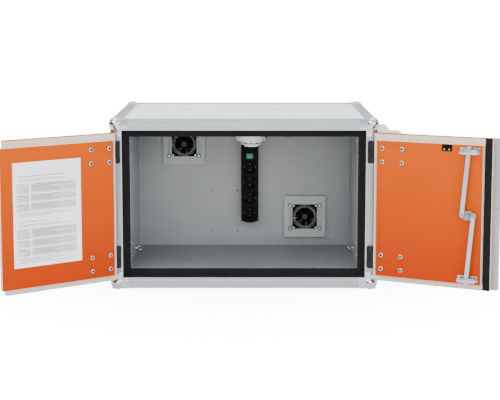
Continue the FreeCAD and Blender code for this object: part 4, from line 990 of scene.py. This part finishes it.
class FineForms:
    """Pieces that stand for plainer solids: door layers, bolts, cam plate, guides and eyes."""

    layer_size = (349.0, 18.7, 438.0)
    layer_x, layer_y = 175.5, -284.15
    hole_columns, bolt_columns = (260.0, 319.5), (260.4, 319.9)
    nut_face, nut_turn = -296.0, 13.0
    cam_face, hub_face, head_face = -247.7, -244.3, -238.7
    pin_reach = 16.6
    foot_top, bar_foot, guide_drop, lug_x = -254.0, -238.1, 2.0, 11.75
    fan_outlet, wall_plug_face = 285.0, 111.0
    mat_size, mat_cells = 75.0, 24
    lining_x, eye_y, eye_z = 345.0, -43.5, 78.0

    def boards(self) -> None:
        """Outer layers of both doors, which end short of the hinge line."""
        flat = Facing.FRONT.value
        for door in DOORS:
            ply = FacedPly(f"{door.name}_outer_board", ORANGE, door=door, faces=(FRONT_FACE,),
                           rims=BOARD_RIMS, film=2.0)
            middle = (door.side * self.layer_x, self.layer_y, LOCK_Z)
            board = Bench.block(f"{door.name}_outer_layer", ply, self.layer_size, middle)
            holes = [(door.side * x, self.layer_y, z) for x in self.hole_columns for z in BOLT_ROWS]
            board.drill(holes, 3.3, 40.0, flat)
            if door is RIGHT_DOOR:
                board.drill([(LOCK_X, self.layer_y, LOCK_Z)], 11.0, 40.0, flat)
            piece = board.soften(0.5).finish([(door.matrix(), door.body)], "orange_board")[0]
            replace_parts(piece, f"{door.name}_door_outer")

    def bolts(self) -> None:
        """Domed heads with a round recess inside, a black hexagon in the recess as painted shade, and nuts
        outside.
        """
        heads: Places = []
        nuts: Places = []
        for door in DOORS:
            rows = [(door.side * x, z) for x in self.bolt_columns for z in BOLT_ROWS]
            heads += Facing.BACK.spots([(x, INNER_FACE, z) for x, z in rows], door=door)
            feet = [(x, self.nut_face, z) for x, z in rows]
            nuts += Facing.FRONT.spots(feet, door=door, spin=self.nut_turn * len(nuts), turn=self.nut_turn)
        head = Bench.disc("bolt_head", ZINC, 6.4, 2.0)
        head.top().inset(1.0).lift(0.7).top().inset(0.8).lift(0.4).top().inset(0.8).pull(-1.5)
        head.pick(lambda middle, normal: normal.z < -0.9 and middle.z < 0.01).inset(3.5).pull(-40.5)
        pieces = head.soften(0.15).smooth().finish(heads)
        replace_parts(pieces[0], "left_door_bolts", "right_door_bolts")
        # The black hexagon in the recess is painted shade standing for the dark of the socket hole.
        core = Bench.disc("bolt_socket_painted_shade", BLACK_PLASTIC, 3.5, 0.5, sides=6, foot=1.5)
        core.top().inset(0.5).soften(0.1).finish(heads, "black_steel")
        nut = Bench.disc("bolt_nut", ZINC, 6.2, 4.0, sides=6)
        nut.top().inset(0.8).lift(0.6).soften(0.3).smooth().finish(nuts)

    def _on_lock(self, depth: float, across: Sequence[float] = (0.0,)) -> Places:
        """Places on the lock's cam at a depth."""
        return Facing.BACK.spots([(LOCK_X + shift, depth, LOCK_Z) for shift in across], "lock", RIGHT_DOOR)

    def cam(self) -> None:
        """Chamfered plate over the cam, heads of its pins, hub and hexagon head."""
        plate = Bench.block("cam_plate", STEEL, (26.4, 26.4, 3.4))
        plate.corners(4.0).soften(0.3).finish(self._on_lock(self.cam_face))
        cap = Bench.disc("pin_head", STEEL, 4.95, 1.7)
        cap.top().inset(1.7).pull(-0.6).inset(1.0).pull(0.5).soften(0.15).smooth()
        cap.finish(self._on_lock(self.head_face, (-self.pin_reach, self.pin_reach)))
        hub = Bench.disc("cam_hub", STEEL, 6.5, 5.6, sides=48)
        hub.top().inset(0.6).soften(0.2).smooth().finish(self._on_lock(self.hub_face))
        head = Bench.disc("cam_head", STEEL, 6.8, 2.6, sides=6)
        head.top().inset(0.9).lift(0.4).soften(0.2).finish(self._on_lock(self.head_face))

    def _row(self, across: float, depth: float, drop: float = 0.0) -> Places:
        """Places at both guides, a shift across from the lock's line."""
        return Facing.BACK.spots([(LOCK_X + across, depth, z - drop) for z in GUIDE_ROWS], door=RIGHT_DOOR)

    def guides(self) -> None:
        """Foot plates, lugs and round-ended bars that hold the rods."""
        foot = Bench.block("guide_foot", ZINC, (57.0, 17.0, 1.5))
        foot.drill([(20.0, 0.0, 0.75)], 3.4, 6.0).soften(0.3)
        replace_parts(foot.finish(self._row(0.0, INNER_FACE))[0], "rod_guides")
        lugs = [spot for across in (-self.lug_x, self.lug_x)
                for spot in self._row(across, self.foot_top, self.guide_drop)]
        Bench.block("guide_lug", ZINC, (1.5, 13.0, 15.9)).soften(0.3).finish(lugs)
        bar = Bench.block("guide_bar", ZINC, (54.0, 13.0, 3.0)).corners(6.0, 6).soften(0.4).smooth()
        bar.finish(self._row(0.0, self.bar_foot, self.guide_drop))

    def magnet(self) -> None:
        """Plate of the door contact."""
        plate = Bench.block("magnet_holder", BLACK_PLASTIC, (29.0, 18.5, 2.5)).top().inset(1.0).soften(0.4, 3)
        places = Facing.BACK.spots([(127.0, INNER_FACE, 448.75)], door=RIGHT_DOOR)
        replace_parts(plate.finish(places, "black_plastic")[0], "magnet_plate")

    def filters(self) -> None:
        """Dark filter mats behind the fans and dark plugs in the wall's fixing holes."""
        cell = self.mat_size / self.mat_cells
        mat = Bench("filter_mat", "grid", FAN_PLASTIC, size=self.mat_size * MM, location=(0, 0, 0),
                    x_subdivisions=self.mat_cells, y_subdivisions=self.mat_cells)
        mat.pick(lambda middle, normal: (round(middle.x / cell) + round(middle.y / cell)) % 2 == 0).pull(0.8)
        mat.finish(Facing.FRONT.spots([(x, self.fan_outlet, z) for x, z in FAN_MIDDLES]), "black_plastic")
        plug = Bench.disc("wall_plug", FOAM, 2.4, 6.0, sides=24).top().inset(0.9).pull(-3.0)
        plug.finish(Facing.FRONT.spots([(x, self.wall_plug_face, z) for x, z in WALL_HOLES]), "black_plastic")

    def eyes(self) -> None:
        """Lashing eyes: washer, shank and ring."""
        eye = Bench.disc("lashing_eye", CHROME, 8.0, 1.6, sides=48).top().inset(4.8).pull(3.6).soften(0.25)
        ring = Bench("eye_ring", "torus", CHROME, major_segments=64, minor_segments=20, major_radius=7.8 * MM,
                     minor_radius=2.2 * MM, location=(0, 0, 12.2 * MM), rotation=(math.pi / 2, 0, 0))
        eye.take(ring).smooth()
        places: Places = []
        for facing, x in ((Facing.RIGHT, -self.lining_x), (Facing.LEFT, self.lining_x)):
            places += facing.spots([(x, self.eye_y, self.eye_z)], spin=125.0)
        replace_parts(eye.finish(places)[0], "lashing_eyes")

    def build(self) -> None:
        """Make every piece."""
        for step in (self.boards, self.bolts, self.cam, self.guides, self.magnet, self.filters, self.eyes):
            step()


class SmallParts:
    """Screws, caps, contacts and shutters that the solids leave out."""

    fan_face, fan_hole = 88.1, 35.75
    strip_x, shutter_y, contact_y = 17.6, 75.6, 74.0
    socket_row, socket_pitch = 172.2, 49.9
    pin_hole, contact_reach = 9.5, 17.6
    detector = (22.0, -43.5, 416.6)
    slot_count = 12
    hinge_rows, knuckle = (102.5, 417.5), 31.0

    def _screw(self, name: str, radius: float, rise: float, finish: Finish, places: Places,
               slot: str = "zinc_steel") -> None:
        """Pan head screws with a recess."""
        head = Bench.disc(name, finish, radius, rise, fill="TRIFAN").top().inset(radius / 5).lift(rise * 0.22)
        head.top().inset(radius * 0.36).pull(-rise * 0.5).soften(rise * 0.12).smooth().finish(places, slot)

    def fan_screws(self) -> None:
        """Silver screws in the corners of both fans."""
        ends = (-self.fan_hole, self.fan_hole)
        spots = [(x + dx, self.fan_face, z + dz) for x, z in FAN_MIDDLES for dx in ends for dz in ends]
        self._screw("fan_screw", 3.1, 1.6, ZINC, Facing.FRONT.spots(spots, turn=17.0))

    def plate_screws(self) -> None:
        """Screws of the magnet plate, the guides and the box lids."""
        magnet = [(x, INNER_FACE + 2.5, 444.5) for x in (119.75, 134.25)]
        self._screw("magnet_screw", 2.1, 0.9, ZINC, Facing.BACK.spots(magnet, door=RIGHT_DOOR))
        guide = [(LOCK_X - 20.0, FineForms.foot_top, z) for z in GUIDE_ROWS]
        self._screw("guide_screw", 4.2, 1.5, BRASS, Facing.BACK.spots(guide, door=RIGHT_DOOR))
        bar_top = FineForms.bar_foot + 3.0
        ends = [(LOCK_X + x, bar_top, z - FineForms.guide_drop) for x in (-21.0, 21.0) for z in GUIDE_ROWS]
        self._screw("bar_screw", 2.2, 0.9, ZINC, Facing.BACK.spots(ends, door=RIGHT_DOOR))
        front = [(491.0, y, z) for y in (-100.5, -8.5) for z in (335.0, 439.0)]
        rear = [(466.0, y, z) for y in (53.5, 171.5) for z in (305.0, 439.0)]
        lids = Facing.RIGHT.spots(front, spin=31.0) + Facing.RIGHT.spots(rear, spin=12.0)
        self._screw("lid_screw", 3.2, 1.5, BOX_PLASTIC, lids, "box_plastic")

    def shutters(self) -> None:
        """Reddish shutters behind the socket holes and the earth contacts beside them."""
        rows = [self.socket_row + self.socket_pitch * number for number in range(4)]
        disc = Bench.disc("socket_shutter", SHUTTER, 2.3, 1.2, sides=24).top().inset(0.5).pull(0.3)
        holes = [row + side for row in rows for side in (-self.pin_hole, self.pin_hole)]
        spots = [(self.strip_x, self.shutter_y, hole) for hole in holes]
        disc.soften(0.1).smooth().finish(Facing.FRONT.spots(spots), "black_plastic")
        clip = Bench.block("earth_contact", ZINC, (0.8, 4.0, 9.0)).pick(lambda middle, normal: normal.z > 0.9)
        clip.lift(0.0, across=0.25).soften(0.2).smooth()
        places: Places = []
        for row in rows:
            for side, spin in ((-1, 180.0), (1, 0.0)):
                spot = (self.strip_x + side * self.contact_reach, self.contact_y, row)
                places += Facing.FRONT.spots([spot], spin=spin)
        clip.finish(places)

    def detector_slots(self) -> None:
        """Dark slots round the lower edge of the ceiling detector."""
        slot = Bench.block("detector_slot", BLACK_PLASTIC, (9.0, 1.0, 2.6), (0.0, -34.3, 0.0)).soften(0.3)
        turns = Facing.UP.spots([self.detector] * self.slot_count, turn=360.0 / self.slot_count)
        slot.finish(turns, "black_plastic")

    def hinge_caps(self) -> None:
        """Rounded heads on the ends of the four hinge pins."""
        cap = Bench.disc("pin_cap", POWDER_BLACK, 4.2, 1.6).top().inset(1.4).lift(0.8).soften(0.3).smooth()
        places: Places = []
        for facing, end in ((Facing.UP, self.knuckle), (Facing.DOWN, -self.knuckle)):
            places += facing.spots([(door.side * HINGE_X, HINGE_Y, z + end)
                                    for door in DOORS for z in self.hinge_rows])
        cap.finish(places, "black_steel")

    def key_cylinder(self) -> None:
        """Plain cylinder lock in the middle of the handle."""
        core = Bench.disc("key_cylinder", CHROME, 6.5, 2.0, sides=48)
        core.top().inset(1.6).pull(-0.5).inset(1.2).pull(0.4).soften(0.25).smooth()
        core.finish(Facing.FRONT.spots([(LOCK_X, -325.5, LOCK_Z)], "lock", RIGHT_DOOR))

    def build(self) -> None:
        """Make every small part."""
        for step in (self.fan_screws, self.plate_screws, self.shutters, self.detector_slots, self.hinge_caps,
                     self.key_cylinder):
            step()


@dataclass(frozen=True)
class Lamp:
    """Soft rectangular light.

    Attributes:
        name: the light's name.
        place: where it hangs.
        size: width and height of its panel.
        power: watts.
        aim: height above the floor that it faces.
    """

    name: str
    place: Point
    size: tuple[float, float]
    power: float
    aim: float

    def hang(self) -> None:
        """Add the light to the scene."""
        data = bpy.data.lights.new(self.name, "AREA")
        data.shape = "RECTANGLE"
        data.size, data.size_y = self.size
        data.energy = self.power
        lamp = bpy.data.objects.new(self.name, data)
        lamp.location = self.place
        lamp.rotation_mode = "QUATERNION"
        lamp.rotation_quaternion = (Vector((0, 0, self.aim)) - Vector(self.place)).to_track_quat("-Z", "Y")
        bpy.context.scene.collection.objects.link(lamp)


class Studio:
    """Pale floor, soft lights and the camera of the photograph's view."""

    floor_size = 14.0
    camera_place, lens, shift = (0.0140, -3.9694, 0.8816), 90.33, (0.0013, -0.1)
    pitch, yaw = 7.104, 0.033
    background = 17.0
    ambient, horizon = (1.35, 1.36, 1.4), (0.32, 0.33, 0.35)
    backdrop, flags = (1.25, 1.26, 1.29), (0.015, 0.016, 0.018)
    lamps = (
        Lamp("key", (-2.2, -3.2, 3.0), (2.4, 2.4), 115, 0.3),
        Lamp("fill", (2.6, -3.4, 1.8), (2.0, 2.0), 72, 0.3),
        Lamp("front", (0.0, -4.6, 1.5), (3.0, 1.6), 80, 0.25),
        Lamp("top", (0.0, 0.2, 3.4), (3.0, 3.0), 150, 0.0),
    )

    def floor(self) -> None:
        """Lay the floor that the cabinet stands on."""
        bpy.ops.mesh.primitive_plane_add(size=self.floor_size, location=(0, 0, 0))
        plane = bpy.context.object
        plane.name = "studio_floor"
        material = bpy.data.materials.new("studio_floor")
        material.use_nodes = True
        draw = Canvas(material.node_tree)
        away = draw.length(draw.add("ShaderNodeTexCoord").outputs["Object"])
        seen = draw.add("ShaderNodeLightPath").outputs["Is Camera Ray"]
        glow = draw.times(draw.times(draw.step(away, 0.3, 1.4, 0.55, 1.0), seen), self.background)
        shader = material.node_tree.nodes["Principled BSDF"]
        settings = {"Base Color": (0.92, 0.92, 0.92, 1), "Roughness": 0.8, "Specular IOR Level": 0.1,
                    "Emission Color": (1, 1, 1, 1), "Emission Strength": glow}
        for name, value in settings.items():
            draw.feed(shader.inputs[name], value)
        plane.data.materials.append(material)

    def world(self) -> None:
        """Even surroundings, white to the eye, darker as light and with dark sides for what mirrors."""
        world = bpy.data.worlds.new("studio")
        bpy.context.scene.world = world
        world.use_nodes = True
        world.node_tree.nodes.clear()
        draw = Canvas(world.node_tree)
        rays = draw.add("ShaderNodeLightPath").outputs
        across, along, rise = draw.parts(draw.add("ShaderNodeTexCoord").outputs["Generated"])
        sky = draw.mix(draw.step(rise, 0.05, 0.6), self.horizon, self.ambient)
        behind = draw.times(draw.step(along, 0.55, 0.85), draw.step(rise, 0.25, 0.6, 1.0, 0.0))
        sky = draw.mix(draw.times(rays["Is Glossy Ray"], behind), sky, self.backdrop)
        aside = draw.step(draw.math("ABSOLUTE", across), 0.35, 0.6)
        beside = draw.times(aside, draw.step(rise, 0.3, 0.5, 1.0, 0.0))
        sky = draw.mix(draw.times(rays["Is Glossy Ray"], beside), sky, self.flags)
        colour = draw.mix(rays["Is Camera Ray"], sky, (self.background,) * 3)
        back = draw.add("ShaderNodeBackground", {"Color": colour, "Strength": 1.0})
        draw.add("ShaderNodeOutputWorld", {"Surface": back.outputs[0]})

    def camera(self) -> None:
        """Set the camera to the photograph's viewing angle."""
        data = bpy.data.cameras.new("camera")
        data.lens = self.lens
        data.sensor_width = 36.0
        data.shift_x, data.shift_y = self.shift
        data.clip_start, data.clip_end = 0.05, 60.0
        eye = bpy.data.objects.new("camera", data)
        eye.location = self.camera_place
        eye.rotation_euler = (math.radians(90 - self.pitch), 0, math.radians(-self.yaw))
        bpy.context.scene.collection.objects.link(eye)
        bpy.context.scene.camera = eye

    def build(self) -> None:
        """Set up floor, light and camera."""
        self.floor()
        self.world()
        for lamp in self.lamps:
            lamp.hang()
        self.camera()


def main() -> None:
    """Dress the frame, add the small parts and set the studio."""
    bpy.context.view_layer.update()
    bpy.ops.object.select_all(action="DESELECT")
    for part in (Shell(), Doors(), Lock(), Fittings()):
        part.dress()
        LOG.info("%s done", type(part).__name__)
    FineForms().build()
    SmallParts().build()
    Studio().build()


if __name__ == "__main__":
    main()
